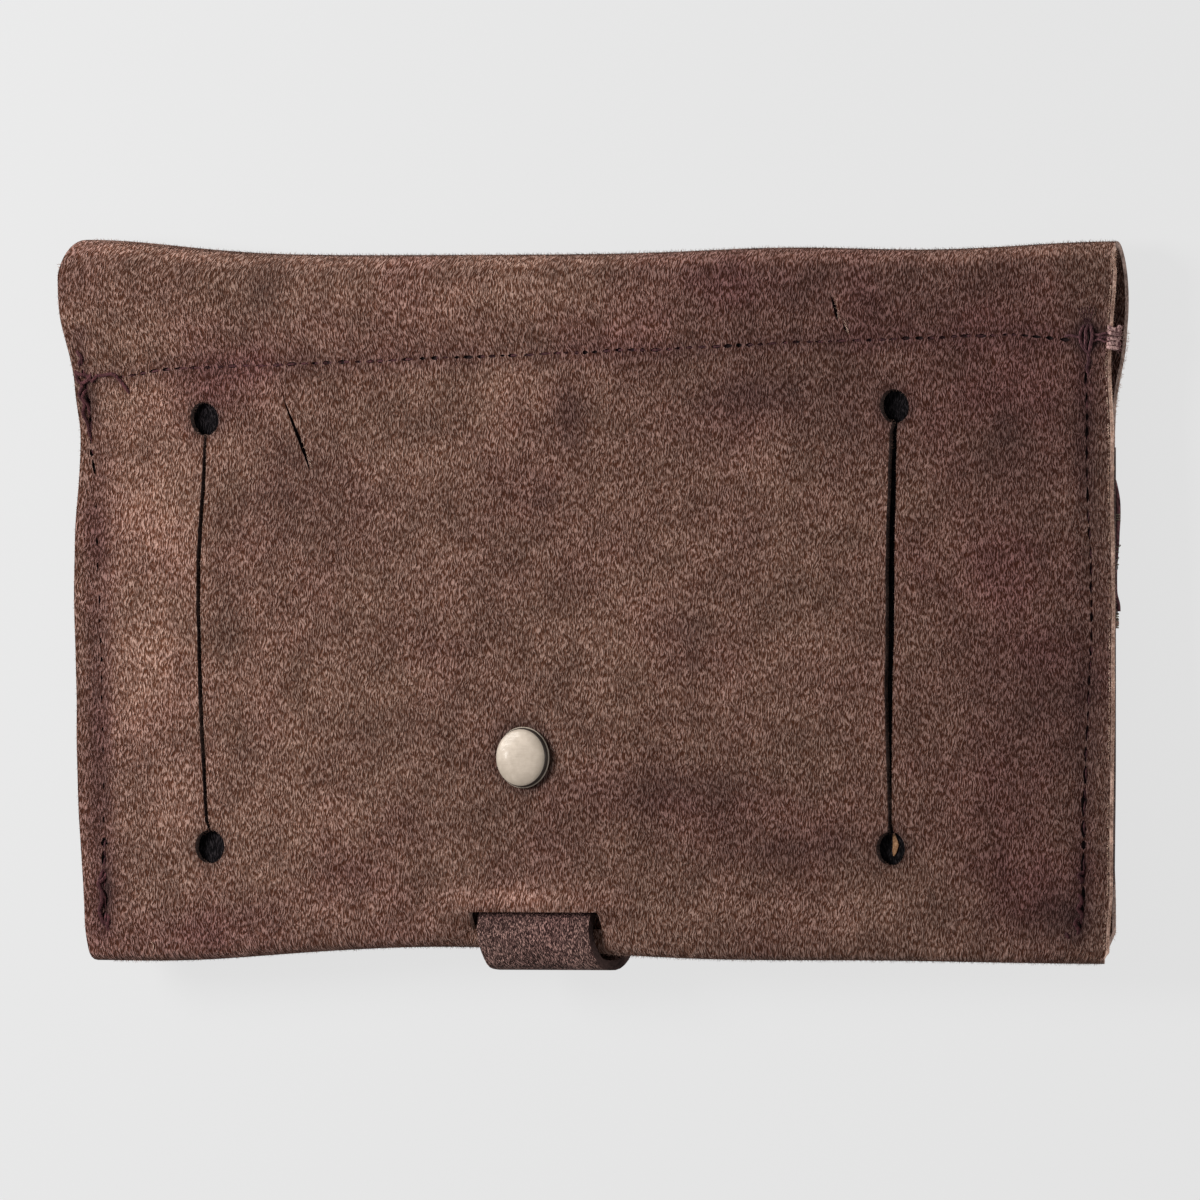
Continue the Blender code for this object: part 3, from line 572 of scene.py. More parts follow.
# %% From a draft to a piece
def mesh_object(name, bm, finishes):
    mesh = bpy.data.meshes.new(name)
    bm.to_mesh(mesh)
    bm.free()
    for finish in finishes:
        mesh.materials.append(finish)
    made = bpy.data.objects.new(name, mesh)
    bpy.context.scene.collection.objects.link(made)
    return made


def thicken(draft, thickness, even=True, rim=0):
    """A Solidify modifier that grows to both sides of the sheet. The rim can have its own finish."""
    thick = draft.modifiers.new("thickness", "SOLIDIFY")
    thick.thickness = thickness
    thick.offset = 0
    thick.use_even_offset = even
    thick.material_offset_rim = rim


def settle(draft):
    """The draft's mesh with its modifiers applied, as a bmesh. The draft is removed."""
    graph = bpy.context.evaluated_depsgraph_get()
    mesh = bpy.data.meshes.new_from_object(draft.evaluated_get(graph), depsgraph=graph)
    bm = bmesh.new()
    bm.from_mesh(mesh)
    bpy.data.meshes.remove(mesh)
    bpy.data.objects.remove(draft, do_unlink=True)
    return bm


def paint(bm, tone_at):
    """A colour per point: red violet stain, green pale nap and painted light, blue dark and painted
    shade.
    """
    tone = bm.verts.layers.float_color.new("tone")
    for vert in bm.verts:
        vert[tone] = tone_at(*vert.co)


def place_piece(name, bm, finishes, smooth_shading=True):
    """The finished piece: moved to where the tipped pouch lies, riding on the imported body."""
    bm.transform(PLACE)
    piece = mesh_object(name, bm, finishes)
    if smooth_shading:
        piece.data.shade_smooth()
        piece.data.set_sharp_from_angle(angle=math.radians(50))
    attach(piece, "root")
    faces = len(piece.data.polygons)
    triangles = sum(len(p.vertices) - 2 for p in piece.data.polygons)
    print(f"{name}: {faces} faces, {triangles} triangles")
    return piece


# %% [markdown]
# ## Suede
#
# Suede is a felt of short fibres that lie in tufts. Three things make it look like that: thin bright
# strands with dark gaps, at about half a millimetre; soft blotches where the nap lies another way or
# has taken up grease; and a matt surface that turns pale only at its rims. The strands are a sum of
# noises that are stretched along slightly different directions and bent by a slower one, and the same
# pattern drives the bump. Where grease has stained the nap violet it has also matted, so its tips and
# gaps stand further apart.


# %% Suede finish
MATTED = 0.55


def suede(name, gap_colour, body_colour, tip_colour, purple=0.5, relief=0.30, sheen=0.08, fine=1.0):
    finish, tree, shader = new_finish(name)
    flat = add_node(tree, "ShaderNodeUVMap", uv_map="hide")["UV"]

    swirl = noise_node(tree, flat, 330.0, 1.0, output="Color")
    centred = add_node(tree, "ShaderNodeVectorMath", {0: swirl, 1: (0.5, 0.5, 0.5)},
                       operation="SUBTRACT")[0]
    bend = add_node(tree, "ShaderNodeVectorMath", {0: centred, "Scale": 0.0014}, operation="SCALE")[0]
    lying = add_node(tree, "ShaderNodeVectorMath", {0: flat, 1: bend}, operation="ADD")[0]

    strands = None
    for turn, across, along in ((10, 3300, 900), (-16, 3700, 1050)):
        run = stretched(tree, lying, math.radians(turn), (across * fine, along * fine ** 2, 1))
        field = noise_node(tree, run, 1.0, 1.0)
        strands = field if strands is None else math_node(tree, "ADD", strands, field)
    lean = stretched(tree, lying, math.radians(-18), (1100, 520, 1))
    tuft = noise_node(tree, lean, 1.0, 2.0, 0.6)
    strands = math_node(tree, "ADD", strands, math_node(tree, "MULTIPLY", tuft, 0.6))
    nap = spread(tree, strands, 1.12, 1.49)
    speckle = noise_node(tree, flat, 3400.0, 1.0)
    blotch = noise_node(tree, flat, 34.0, 4.0, 0.6)
    cloud = noise_node(tree, flat, 110.0, 3.0, 0.6)
    tone = add_node(tree, "ShaderNodeAttribute", attribute_name="tone")["Color"]
    marks = add_node(tree, "ShaderNodeSeparateColor", {"Color": tone})

    violet = math_node(tree, "MULTIPLY", spread(tree, blotch, 0.42, 0.66), purple, clamp=True)
    violet = math_node(tree, "ADD", violet, marks["Red"], clamp=True)
    matted = math_node(tree, "MULTIPLY", math_node(tree, "SUBTRACT", nap, 0.47),
                       math_node(tree, "MULTIPLY", violet, MATTED))
    matted = math_node(tree, "ADD", nap, matted)
    low = mix_colour(tree, spread(tree, matted, 0.0, 0.5), gap_colour, body_colour)
    coat = mix_colour(tree, spread(tree, matted, 0.5, 1.0), low, tip_colour)
    coat = tinted(tree, coat, violet, (1, 1, 1, 1), (0.71, 0.54, 0.63, 1))
    coat = tinted(tree, coat, spread(tree, cloud, 0.34, 0.66),
                  (0.80, 0.79, 0.78, 1), (1.17, 1.18, 1.17, 1))
    broad = noise_node(tree, flat, 17.0, 3.0, 0.6)
    coat = tinted(tree, coat, spread(tree, broad, 0.36, 0.64),
                  (0.87, 0.86, 0.87, 1), (1.11, 1.12, 1.10, 1))
    coat = tinted(tree, coat, spread(tree, speckle, 0.40, 0.66),
                  (0.90, 0.90, 0.90, 1), (1.22, 1.22, 1.22, 1))
    # Green brightens the nap, partly as painted highlight; blue darkens it, partly as painted shade.
    coat = tinted(tree, coat, marks["Green"], (1, 1, 1, 1), (1.9, 1.9, 1.9, 1))
    coat = mix_colour(tree, marks["Blue"], coat, (0.012, 0.007, 0.008, 1))

    height = math_node(tree, "ADD", nap, math_node(tree, "MULTIPLY", speckle, 0.4))
    fill(tree, shader, {"Base Color": coat, "Normal": bump_node(tree, height, relief),
                        "Roughness": 0.95, "Specular IOR Level": 0.05, "Sheen Weight": sheen,
                        "Sheen Roughness": 0.5, "Sheen Tint": (0.75, 0.58, 0.50, 1)})
    print("suede:", name, "with", len(tree.nodes), "nodes")
    return finish


BROWN_SUEDE = suede("brown_suede_nap", (0.046, 0.016, 0.008, 1), (0.124, 0.062, 0.043, 1),
                    (0.240, 0.152, 0.122, 1))
DARK_SUEDE = suede("strap_suede_nap", (0.022, 0.010, 0.009, 1), (0.092, 0.048, 0.042, 1),
                   (0.320, 0.195, 0.166, 1), fine=1.3)
# Painted shade: the lining is nearly black, the shade seen through the holes and the fold's end.
LINING_SUEDE_SHADE = suede("lining_nap_painted_shade", (0.002, 0.0018, 0.002, 1), (0.006, 0.005, 0.006, 1),
                     (0.019, 0.016, 0.017, 1), sheen=0.0)


# %% Raw leather at the cuts
def raw_leather(name, dark, pale):
    """The open fibres of a cut edge: dry and uneven, pale unless painted dark as shade."""
    finish, tree, shader = new_finish(name)
    place = add_node(tree, "ShaderNodeTexCoord")["Object"]
    fibre = noise_node(tree, place, 1500.0, 4.0, 0.7)
    patch = noise_node(tree, place, 130.0, 3.0, 0.6)
    share = math_node(tree, "ADD", spread(tree, fibre, 0.35, 0.65, 0.0, 0.75),
                      spread(tree, patch, 0.4, 0.65, -0.2, 0.35), clamp=True)
    fill(tree, shader, {"Base Color": mix_colour(tree, share, dark, pale),
                        "Normal": bump_node(tree, fibre, 0.10), "Roughness": 1.0,
                        "Specular IOR Level": 0.1})
    return finish


CUT_EDGE = raw_leather("cut_edge", (0.30, 0.17, 0.12, 1), (0.86, 0.63, 0.50, 1))
# Painted shade: the slits' walls and the pocket's rim are darkened as the shade inside them.
SLIT_WALL_SHADE = raw_leather("slit_wall_painted_shade", (0.028, 0.018, 0.016, 1), (0.12, 0.082, 0.072, 1))
BACK_RIM = raw_leather("back_rim", (0.24, 0.135, 0.105, 1), (0.88, 0.62, 0.50, 1))
FLAP_RIM = raw_leather("flap_rim", (0.11, 0.074, 0.062, 1), (0.46, 0.33, 0.28, 1))
# Painted shade: the slash, the tears and the seams' furrows are nearly black as the shade in them.
DEEP_CUT_SHADE = raw_leather("deep_cut_painted_shade", (0.008, 0.005, 0.005, 1), (0.028, 0.015, 0.015, 1))
BROWN_FUZZ = raw_leather("brown_fuzz", (0.07, 0.034, 0.025, 1), (0.30, 0.185, 0.145, 1))
# Painted shade: the strap's cut edges are darkened as the shade on its side away from the light.
STRAP_EDGE_SHADE = raw_leather("strap_cut_edge_painted_shade", (0.020, 0.013, 0.012, 1), (0.075, 0.045, 0.04, 1))


# %% [markdown]
# ## Cutting the hide
#
# The slits, the strap's slot, the rivet's hole, an old knife slash, a small tear and the furrows of
# the seams are real cuts. Their cutters are flat outlines that are pushed into the leather, all in one
# mesh, and one Boolean takes them away together. Each cutter's faces carry the number of the finish
# that the cut shall show.

# %% Cutter helpers
# The deep and wall numbers pick finishes that are dark with painted shade.
CUT, DEEP, WALL, FLAP_CUT = 1, 2, 3, 4
HIDE_FINISHES = [BROWN_SUEDE, BACK_RIM, DEEP_CUT_SHADE, SLIT_WALL_SHADE, FLAP_RIM]


def push_through(bm, outline, low, high, finish_number):
    """A closed prism over an outline, added to a mesh of cutters."""
    base = bm.faces.new([bm.verts.new((x, y, low)) for x, y in outline])
    raised = bmesh.ops.extrude_face_region(bm, geom=[base])
    tops = [g for g in raised["geom"] if isinstance(g, bmesh.types.BMVert)]
    bmesh.ops.translate(bm, verts=tops, vec=(0, 0, high - low))
    faces = {face for vert in tops + list(base.verts) for face in vert.link_faces}
    for face in faces:
        face.material_index = finish_number
    bmesh.ops.recalc_face_normals(bm, faces=list(faces))


# %% Outlines of round holes and slits
def round_outline(centre, radius, steps):
    return [(centre[0] + radius * math.cos(2 * math.pi * k / steps),
             centre[1] + radius * math.sin(2 * math.pi * k / steps)) for k in range(steps)]


def keyhole_outline(slit, seed):
    """A slit with a round hole at both ends and slightly ragged lips."""
    top, bottom = slit["top"], slit["bottom"]
    along = (top - bottom).normalized()
    heading = math.atan2(along.y, along.x)
    radius = SLIT_HOLE / 2
    opening = math.asin(slit["width"] * 0.7 / SLIT_HOLE)
    length = (top - bottom).length - 2 * radius * math.cos(opening)
    across = Vector((along.y, -along.x))
    outline = []
    for centre, facing, side in ((top, heading, 1), (bottom, heading + math.pi, -1)):
        for k in range(25):
            turn = facing - math.pi + opening + (2 * math.pi - 2 * opening) * k / 24
            ragged = radius * (1 + 0.012 * wobble(turn, 0.35, seed + side))
            outline.append((centre.x + ragged * math.cos(turn), centre.y + ragged * math.sin(turn)))
        count = 44
        for k in range(1, count):
            belly = math.sin(math.pi * k / count) ** 0.6
            middle = centre - along * side * (radius * math.cos(opening) + length * k / count)
            down = (top - middle).length / (top - bottom).length
            narrow = 1 - (1 - slit["narrowing"]) * ramp(down, 0.5, 1)
            half = slit["width"] * (0.42 + 0.14 * belly) * narrow
            half += 0.10 * MM * wobble(k, 2.0, seed + 3 * side)
            near_top, halfway, near_bottom = slit["sway"]
            bend = near_top + (halfway - near_top) * ramp(down, 0.05, 0.4)
            bend += (near_bottom - halfway) * ramp(down, 0.6, 0.95)
            sway = MM * bend * math.sin(math.pi * k / count) ** 0.25
            outline.append(tuple(middle + across * (sway - side * half)))
    return outline


# %% [markdown]
# ## Where the needle went in
#
# Hand sewing is even but never exact, so each stitch is a little longer or shorter than the pitch.
# The stitches and the furrows of the seams both need the true height of the hide below them.

# %% Places of the stitches
def stitch_places(start, end, pitch, seed):
    """Where the needle went in along a seam, about a pitch apart."""
    places = []
    at = start * MM
    while at < end * MM:
        places.append(at)
        at += pitch(at) * (1 + 0.10 * wobble(at, 5 * MM, seed))
    return places


SIDE_PITCH = 3.7 * MM
TOP_STITCHES = stitch_places(-111, 114, lambda x: 3.5 * MM + 1.0 * MM * rise(x, -20, 80), 5)
RIGHT_STITCHES = stitch_places(7.5, 122, lambda y: SIDE_PITCH, 6)
LEFT_STITCHES = stitch_places(6.5, 124, lambda y: SIDE_PITCH, 8)
print("stitches:", len(TOP_STITCHES), len(RIGHT_STITCHES), len(LEFT_STITCHES))


# %% Places on the back's outer face
def back_point(x, y, over=0.0):
    """A point on the back's outer face in the pouch's frame."""
    lift = back_relief(x, y) * rise(y, 3, 9)
    left = left_edge(y)
    column = -HALF_WIDTH + 2 * HALF_WIDTH * (x - left) / (right_edge(y) - left)
    return Vector((x, y, BACK_FACE + back_lift(column, y) + lift + over))


def seam_place(number, at):
    """The place on a seam (0 top, 1 right, 2 left) at this distance along its axis."""
    if number == 0:
        return Vector((at, top_seam(at)))
    return Vector((right_seam(at) if number == 1 else left_seam(at), at))


SEAM_RUNS = [[seam_place(number, at) for at in stitches]
             for number, stitches in enumerate((TOP_STITCHES, RIGHT_STITCHES, LEFT_STITCHES))]


def seam_worn(number, place):
    """How much of a seam has sunk into the nap here. The middle of the left one is hardly seen."""
    if number == 0:
        return 0.35 * rise(place.x, -50, 10)
    if number == 1:
        return 0.3
    return rise(place.y, 26, 38) * rise(-place.y, -106, -98)


# %% [markdown]
# ## The knife slash and the tear
#
# Left of the middle an old slash runs down steeply, open in its lower half. At the upper right there
# is a small tear in two parts. Both go only part of the way into the leather.

# %% Slash and tears
SLASH = [Vector((-73.2, 116.9)), Vector((-72.4, 113.4)), Vector((-71.0, 110.0)), Vector((-69.6, 106.6)),
         Vector((-68.2, 103.2)), Vector((-67.0, 99.9))]
TEARS = [[Vector((57.4, 135.0)), Vector((58.3, 132.3)), Vector((58.8, 129.8))],
         [Vector((60.0, 129.4)), Vector((60.5, 128.4)), Vector((60.8, 127.6))]]


def blade_outline(points, widest, count=18, seed=9, skew=1.0):
    """A long thin leaf along points in mm. A skew over 1 moves its widest place towards the end."""
    curve = []
    for k in range(count + 1):
        t = k / count * (len(points) - 1)
        i = min(int(t), len(points) - 2)
        curve.append((points[i].lerp(points[i + 1], t - i)) * MM)
    near, far = [], []
    for k, point in enumerate(curve):
        ahead = curve[min(k + 1, count)] - curve[max(k - 1, 0)]
        side = Vector((ahead.y, -ahead.x)).normalized()
        share = math.sin(math.pi * ((k + 0.35) / (count + 0.7)) ** skew) ** 0.8
        width = widest * share * (1 + 0.35 * wobble(k, 1.7, seed))
        near.append(tuple(point + side * width / 2))
        far.append(tuple(point - side * width / 2))
    return near + far[::-1]


print("points of the slash's outline:", len(blade_outline(SLASH, 0.80 * MM)))

# %% [markdown]
# ## All cutters in one mesh
#
# The exact Boolean gives nothing at all when two cutters overlap, so they stand apart from each
# other: first the slits, the slot and the rivet's hole, which go right through, then the shallow
# cuts, and last the furrows of the seams.

# %% Cuts through the hide
cutters = bmesh.new()
through_low = BACK_MID - LEATHER / 2 - 0.25 * MM
through_high = BACK_FACE + 6 * MM
for seed, slit in enumerate(SLITS.values()):
    push_through(cutters, keyhole_outline(slit, 11 + seed), through_low, through_high, WALL)

SLOT_ROUND = 0.6 * MM
slot_half = (SLOT_HEIGHT - SLOT_CLOSED) / 2
slot_outline = []
for quarter, (across, upward) in enumerate(((1, 1), (-1, 1), (-1, -1), (1, -1))):
    for k in range(4):
        turn = math.pi / 2 * (quarter + k / 3)
        x = SLOT_X + across * (SLOT_WIDTH / 2 - SLOT_ROUND) + SLOT_ROUND * math.cos(turn)
        y = SLOT_BOTTOM + slot_half + upward * (slot_half - SLOT_ROUND) + SLOT_ROUND * math.sin(turn)
        slot_outline.append((x, y))
push_through(cutters, slot_outline, BACK_MID - LEATHER / 2 - 1.3 * MM, through_high, CUT)
push_through(cutters, round_outline(RIVET, 2.1 * MM, 24), through_low, through_high, CUT)


# %% Shallow cuts
def score(place, outline, depth):
    """A cut that ends this deep under the back's face, as it is at a place given in mm."""
    middle = place * MM
    push_through(cutters, outline, back_point(middle.x, middle.y).z - depth, through_high, DEEP)


for points, widest, skew in ((SLASH, 0.80, 1.6), (TEARS[0], 0.75, 1.0), (TEARS[1], 0.5, 1.0)):
    score(points[len(points) // 2], blade_outline(points, widest * MM, skew=skew), 0.95 * MM)

# %% Furrows of the seams
# What shows of a seam is a broken row of dark furrows in the nap, as (seam, start, end, length of a
# furrow, gap, width), the last three as smallest and largest, all in mm.
FURROWS = [(0, -111, 114, (1.0, 2.8), (0.6, 1.5), (0.45, 0.85)),
           (1, 7, 44, (1.6, 6.5), (0.35, 0.7), (0.65, 1.35)),
           (1, 45, 121, (1.4, 3.6), (0.5, 1.4), (0.45, 0.80)),
           (2, 7, 25, (2.5, 6.0), (0.35, 0.7), (1.10, 1.75)),
           (2, 28, 96, (0.8, 1.8), (2.5, 6.0), (0.35, 0.50)),
           (2, 99, 121, (1.4, 3.4), (0.5, 1.2), (0.60, 1.00))]
SHORTEST = 0.7
chance = random.Random(31)
for number, start, end, lengths, gaps, widths in FURROWS:
    at = start
    while end - at > SHORTEST:
        stop = min(at + chance.uniform(*lengths), end)
        steps = max(2, round((stop - at) / SHORTEST))
        points = [seam_place(number, (at + (stop - at) * k / steps) * MM) / MM for k in range(steps + 1)]
        widest = chance.uniform(*widths) * MM
        outline = blade_outline(points, widest, 2 * steps, round(at * 3) + 40)
        score(points[steps // 2], outline, 0.45 * MM)
        at = stop + chance.uniform(*gaps)
print("cutter faces:", len(cutters.faces))

# %% [markdown]
# ## The hide
#
# The sheet, its thickness and the cutters come together here. Solidify gives the rims a finish of
# their own, and each cut face keeps the finish that its cutter carried.

# %% Sheet, thickness and cuts
hide_bm, hide_length = laid_sheet(hide_path, HIDE_COLUMNS, lambda y: (left_edge(y), right_edge(y)),
                                  level_row=POCKET_STEPS + BOTTOM_STEPS + 6)
hide_draft = mesh_object("hide_draft", hide_bm, HIDE_FINISHES)
thicken(hide_draft, LEATHER, rim=CUT)
cutter = mesh_object("cutters", cutters, HIDE_FINISHES)
boolean = hide_draft.modifiers.new("cuts", "BOOLEAN")
boolean.operation = "DIFFERENCE"
boolean.solver = "EXACT"
boolean.object = cutter
hide_bm = settle(hide_draft)
bpy.data.objects.remove(cutter, do_unlink=True)

# Rims further out than any cut: the pocket's gets the walls' painted shade, the flap's a greyer finish
SIDE_RIMS = 112 * MM
for face in hide_bm.faces:
    level = face.calc_center_median()
    if face.material_index == CUT and abs(level.x) > SIDE_RIMS and level.z < BACK_MID - LEATHER:
        face.material_index = WALL if LEATHER < level.z and level.y < POCKET_MOUTH else FLAP_CUT
print("hide length in mm:", round(hide_length / MM, 1))


# %% [markdown]
# ## Marks of use, painted shade and painted highlights
#
# Grease has stained the hide violet in places, rubbing has made it pale, and some places are darker.
# The darkening along the seams, in rings round the holes and the rivet's cap, and in a broad place at
# the right is painted shade; a pale band along the top fold and one over the slot's upper lip are
# painted highlights. These are soft round marks, each with its place, its reach and its strength.
# They are kept as a colour on each point, because the finish can then mix them with its own noise.

# %% Soft marks
# Each is (x, height, reach across, reach up, strength), the first four in mm
VIOLET_PLACES = [(107, 11, 10, 8, 0.18), (-116, 18, 6, 12, 0.35), (-95, 3, 26, 5, 0.45),
                 (98, 86, 20, 48, 0.38), (62, 112, 12, 12, 0.28), (-118, 60, 4, 42, 0.45),
                 (35, 138, 16, 8, 0.5), (71, 135, 44, 10, 0.5), (40, 114, 13, 9, 0.5),
                 (35, 87, 8, 12, 0.3), (23, 110, 10, 8, 0.25), (-5, 110, 5, 8, 0.3),
                 (22, 33, 22, 7, 0.45), (52, 25, 20, 7, 0.35), (96, 118, 26, 12, 0.35),
                 (100, 60, 22, 34, 0.35), (104, 16, 20, 12, 0.35), (-84, 121, 14, 8, 0.5),
                 (-90, 116, 8, 5, 0.3), (-57, 17, 10, 7, 0.35), (-45, 29, 6, 5, 0.3),
                 (-8, 23, 9, 7, 0.35), (-88, 8, 18, 5, 0.4), (-18, 128, 60, 4, 0.2)]
# Pale places are paler nap; the narrow band over the slot's upper lip at (-17.5, 13.0) is a painted
# highlight.
PALE_PLACES = [(24, 76, 34, 34, 0.09), (58, 60, 10, 26, 0.03), (-62, 24, 44, 20, 0.07),
               (-100, 22, 18, 15, 0.10), (-105, 90, 7, 9, 0.50), (-107, 57, 9, 11, 0.50),
               (-101, 31, 6, 6, 0.35), (-105, 115, 6, 6, 0.30), (-102, 72, 10, 34, 0.12),
               (-26, 135, 46, 6, 0.20), (-18, 114, 9, 7, 0.22), (-36, 80, 8, 8, 0.18),
               (6, 67, 12, 10, 0.12), (42, 102, 9, 18, 0.16), (47, 57, 15, 10, 0.16),
               (14, 130, 7, 6, 0.18), (97, 71, 8, 12, 0.10), (111, 102, 5, 14, 0.12),
               (-17.5, 13.0, 14, 2.3, 0.80), (58.6, 133.4, 0.7, 1.8, 0.6),
               (-67.2, 104.3, 0.6, 1.2, 0.6), (-60, 10, 26, 6, 0.10), (30, 10, 30, 6, 0.14),
               (70, 8, 24, 5, 0.16), (-40, 98, 12, 6, 0.12)]
# Dark places are darker patches of the hide; the broad one at (104, 70) is painted shade where the light
# falls off to the right.
DARK_PLACES = [(-78, 136, 6, 6, 0.24), (-70, 103, 9, 5, 0.26), (-71, 92, 18, 7, 0.20),
               (-87, 69, 4, 8, 0.24), (-81, 42, 4, 4, 0.24), (-5, 110, 4, 7, 0.30),
               (-12, 94, 8, 3, 0.16), (23, 67, 6, 9, 0.28), (39, 115, 13, 5, 0.34),
               (20, 35, 16, 4, 0.26), (52, 23, 18, 3, 0.28), (68, 137, 46, 9, 0.20),
               (104, 70, 24, 70, 0.05), (-88, 132, 32, 8, 0.08), (107, 11, 8, 6, 0.09),
               (-118, 52, 3.5, 36, 0.16), (62, 110, 11, 12, 0.14), (108, 53, 15, 12, 0.20),
               (100, 103, 18, 10, 0.16), (118, 127, 4, 3.5, 0.55), (112, 9, 7, 6, 0.38),
               (-116, 13, 1.5, 7, 0.60), (-118.5, 116, 1.6, 5, 0.35), (-52, 44, 16, 8, 0.12),
               (118, 80, 5, 60, 0.16), (-60, 142, 60, 2, 0.12), (98, 108, 4, 4, 0.22),
               (84, 9, 14, 4, 0.14)]


def spot(x, y, place):
    middle_x, middle_y, wide, high, strength = place
    return strength * math.exp(-((x / MM - middle_x) / wide) ** 2 - ((y / MM - middle_y) / high) ** 2)


def hide_tone(x, y, z):
    """Violet, pale and dark at a point. Seams, holes and rivet add painted shade on the back only."""
    place = Vector((x, y))
    violet, pale, dark = (sum(spot(x, y, mark) for mark in marks)
                          for marks in (VIOLET_PLACES, PALE_PLACES, DARK_PLACES))
    on_back = ramp(z, BACK_MID, BACK_FACE)
    # Painted shade: the seams darken the back in the grooves their thread pulls down, and also tint it
    # violet.
    pull = seam_pull(x, y) * on_back
    # Painted highlight: the nap is paler along the top fold's edge, where it turns away from the light.
    rim = 0.90 * ramp(y, top_line(x) - 4 * MM, top_line(x) - 1 * MM)
    # Painted shade: dark rings round the rivet's cap and round the holes at the slits' ends.
    ring = 0.5 * hump((place - RIVET).length, 6.3, 1.1)
    for slit in SLITS.values():
        for hole in (slit["top"], slit["bottom"]):
            ring += 0.34 * hump((place - hole).length, 3.7, 0.8)
    return (min(1, 1.1 * violet + 0.38 * pull), min(1, 1.35 * pale + rim),
            min(1, 1.15 * dark + 0.26 * pull + ring * on_back), 1)


# %% The finished hide
paint(hide_bm, hide_tone)
hide = place_piece("suede_hide", hide_bm, HIDE_FINISHES)
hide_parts("folded_leather")

# %% [markdown]
# ## Lining behind the slits
#
# A thin split leather closes the belt slits from inside. It shows only through the holes and in the
# open end of the top fold. Its colour is painted nearly black, the shade inside them.


# %% Lining
def lining_path(x):
    x *= 1 - LINING_INSET / HALF_WIDTH
    top = seam_line(x) + LINING_ABOVE_SEAM
    fold_foot = top_line(x) - FOLD_FOOT
    path = []
    for k in range(61):
        y = LINING_BOTTOM + (top - LINING_BOTTOM) * k / 60
        climb = (back_lift(x, y) - 0.2 * MM * ramp(y, fold_foot, top)) if y >= fold_foot else 0
        path.append((y, LINING_MID + climb - front_drop(x, y), LINING_INSET))
    return path


lining_bm, lining_length = laid_sheet(lining_path, 60, lambda y: (left_edge(y), right_edge(y)))
lining_draft = mesh_object("lining_draft", lining_bm, [LINING_SUEDE_SHADE])
thicken(lining_draft, LINING, even=False)
lining_bm = settle(lining_draft)
paint(lining_bm, lambda x, y, z: (0, 0, 0, 1))
lining = place_piece("split_lining", lining_bm, [LINING_SUEDE_SHADE])
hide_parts("lining_panel")

# %% [markdown]
# A crumb of pale leather lies on the lining in the lower right hole. It is a thin leaf, cut like the
# slash's cutter and laid on the lining's face.

# %% Sliver in the lower right hole
SLIVER = [Vector((70.3, 26.3)), Vector((70.8, 24.0)), Vector((70.3, 21.7))]
sliver_bm = bmesh.new()
lining_face = LINING_MID + LINING / 2
push_through(sliver_bm, blade_outline(SLIVER, 1.3 * MM, 12, 3), lining_face - 0.05 * MM,
             lining_face + 0.22 * MM, 0)
TAN_SLIVER = raw_leather("tan_sliver", (0.20, 0.10, 0.05, 1), (0.52, 0.31, 0.17, 1))
place_piece("pale_sliver", sliver_bm, [TAN_SLIVER])

# %% [markdown]
# ## The strap
#
# The strap is a thicker, darker strip. Its middle line is a smooth curve through a few points: flat
# under the back, out of the slot, round the bottom fold with some air, and up the front to the snap.

# %% Strap route
STRAP_ROUTE = [
    (STRAP_INNER_END, STRAP_INNER_MID),
    (SLOT_TOP + 20 * MM, STRAP_INNER_MID),
    (SLOT_TOP + 5 * MM, STRAP_INNER_MID),
    (SLOT_TOP, STRAP_INNER_MID + 0.5 * MM),
    (SLOT_BOTTOM, BACK_FACE - 1.0 * MM + GAP + STRAP_LEATHER / 2 + 0.4 * MM),
    (SLOT_BOTTOM - 3.3 * MM, BACK_FACE + GAP + STRAP_LEATHER / 2),
    (0.2 * MM, BACK_FACE),
    (-0.6 * MM, BACK_FACE / 2 + 0.7 * MM),
    (-0.4 * MM, 0.6 * MM),
    (2.0 * MM, -1.5 * MM),
    (7.0 * MM, -2.2 * MM),
    (14.0 * MM, STRAP_SNAP_MID + 1.0 * MM),
    (SNAP_HEIGHT - CAP_RADIUS - 2.0 * MM, STRAP_SNAP_MID + 0.1 * MM),
    (SNAP_HEIGHT - CAP_RADIUS + 1.0 * MM, STRAP_SNAP_MID),
    (SNAP_HEIGHT + CAP_RADIUS, STRAP_SNAP_MID),
    (STRAP_TIP, STRAP_SNAP_MID),
]


def smooth_curve(points, step, least=1):
    """Points about a step apart on a smooth curve through the given ones, with at least this many
    steps between two of them."""
    ends = [2 * Vector(points[0]) - Vector(points[1])]
    through = ends + [Vector(p) for p in points] + [2 * Vector(points[-1]) - Vector(points[-2])]
    curve = []
    for a, b, c, d in zip(through, through[1:], through[2:], through[3:]):
        count = max(least, round((c - b).length / step))
        for k in range(count):
            t = k / count
            curve.append(0.5 * (2 * b + (c - a) * t + (2 * a - 5 * b + 4 * c - d) * t ** 2
                                + (3 * b - a - 3 * c + d) * t ** 3))
    curve.append(Vector(points[-1]))
    return curve


# %% Length and width of the strap
strap_line = smooth_curve(STRAP_ROUTE, 1.0 * MM)
strap_lengths = [0.0]
for a, b in zip(strap_line, strap_line[1:]):
    strap_lengths.append(strap_lengths[-1] + (b - a).length)
strap_length = strap_lengths[-1]


def strap_half_width(at):
    """Half the strap's width at this length. The tip is rounder than the inner end."""
    to_end = min(at, strap_length - at)
    radius = 10 * MM if at > strap_length / 2 else 5 * MM
    if to_end >= radius:
        return STRAP_WIDTH / 2
    return STRAP_WIDTH / 2 - radius + math.sqrt(radius ** 2 - (radius - to_end) ** 2)


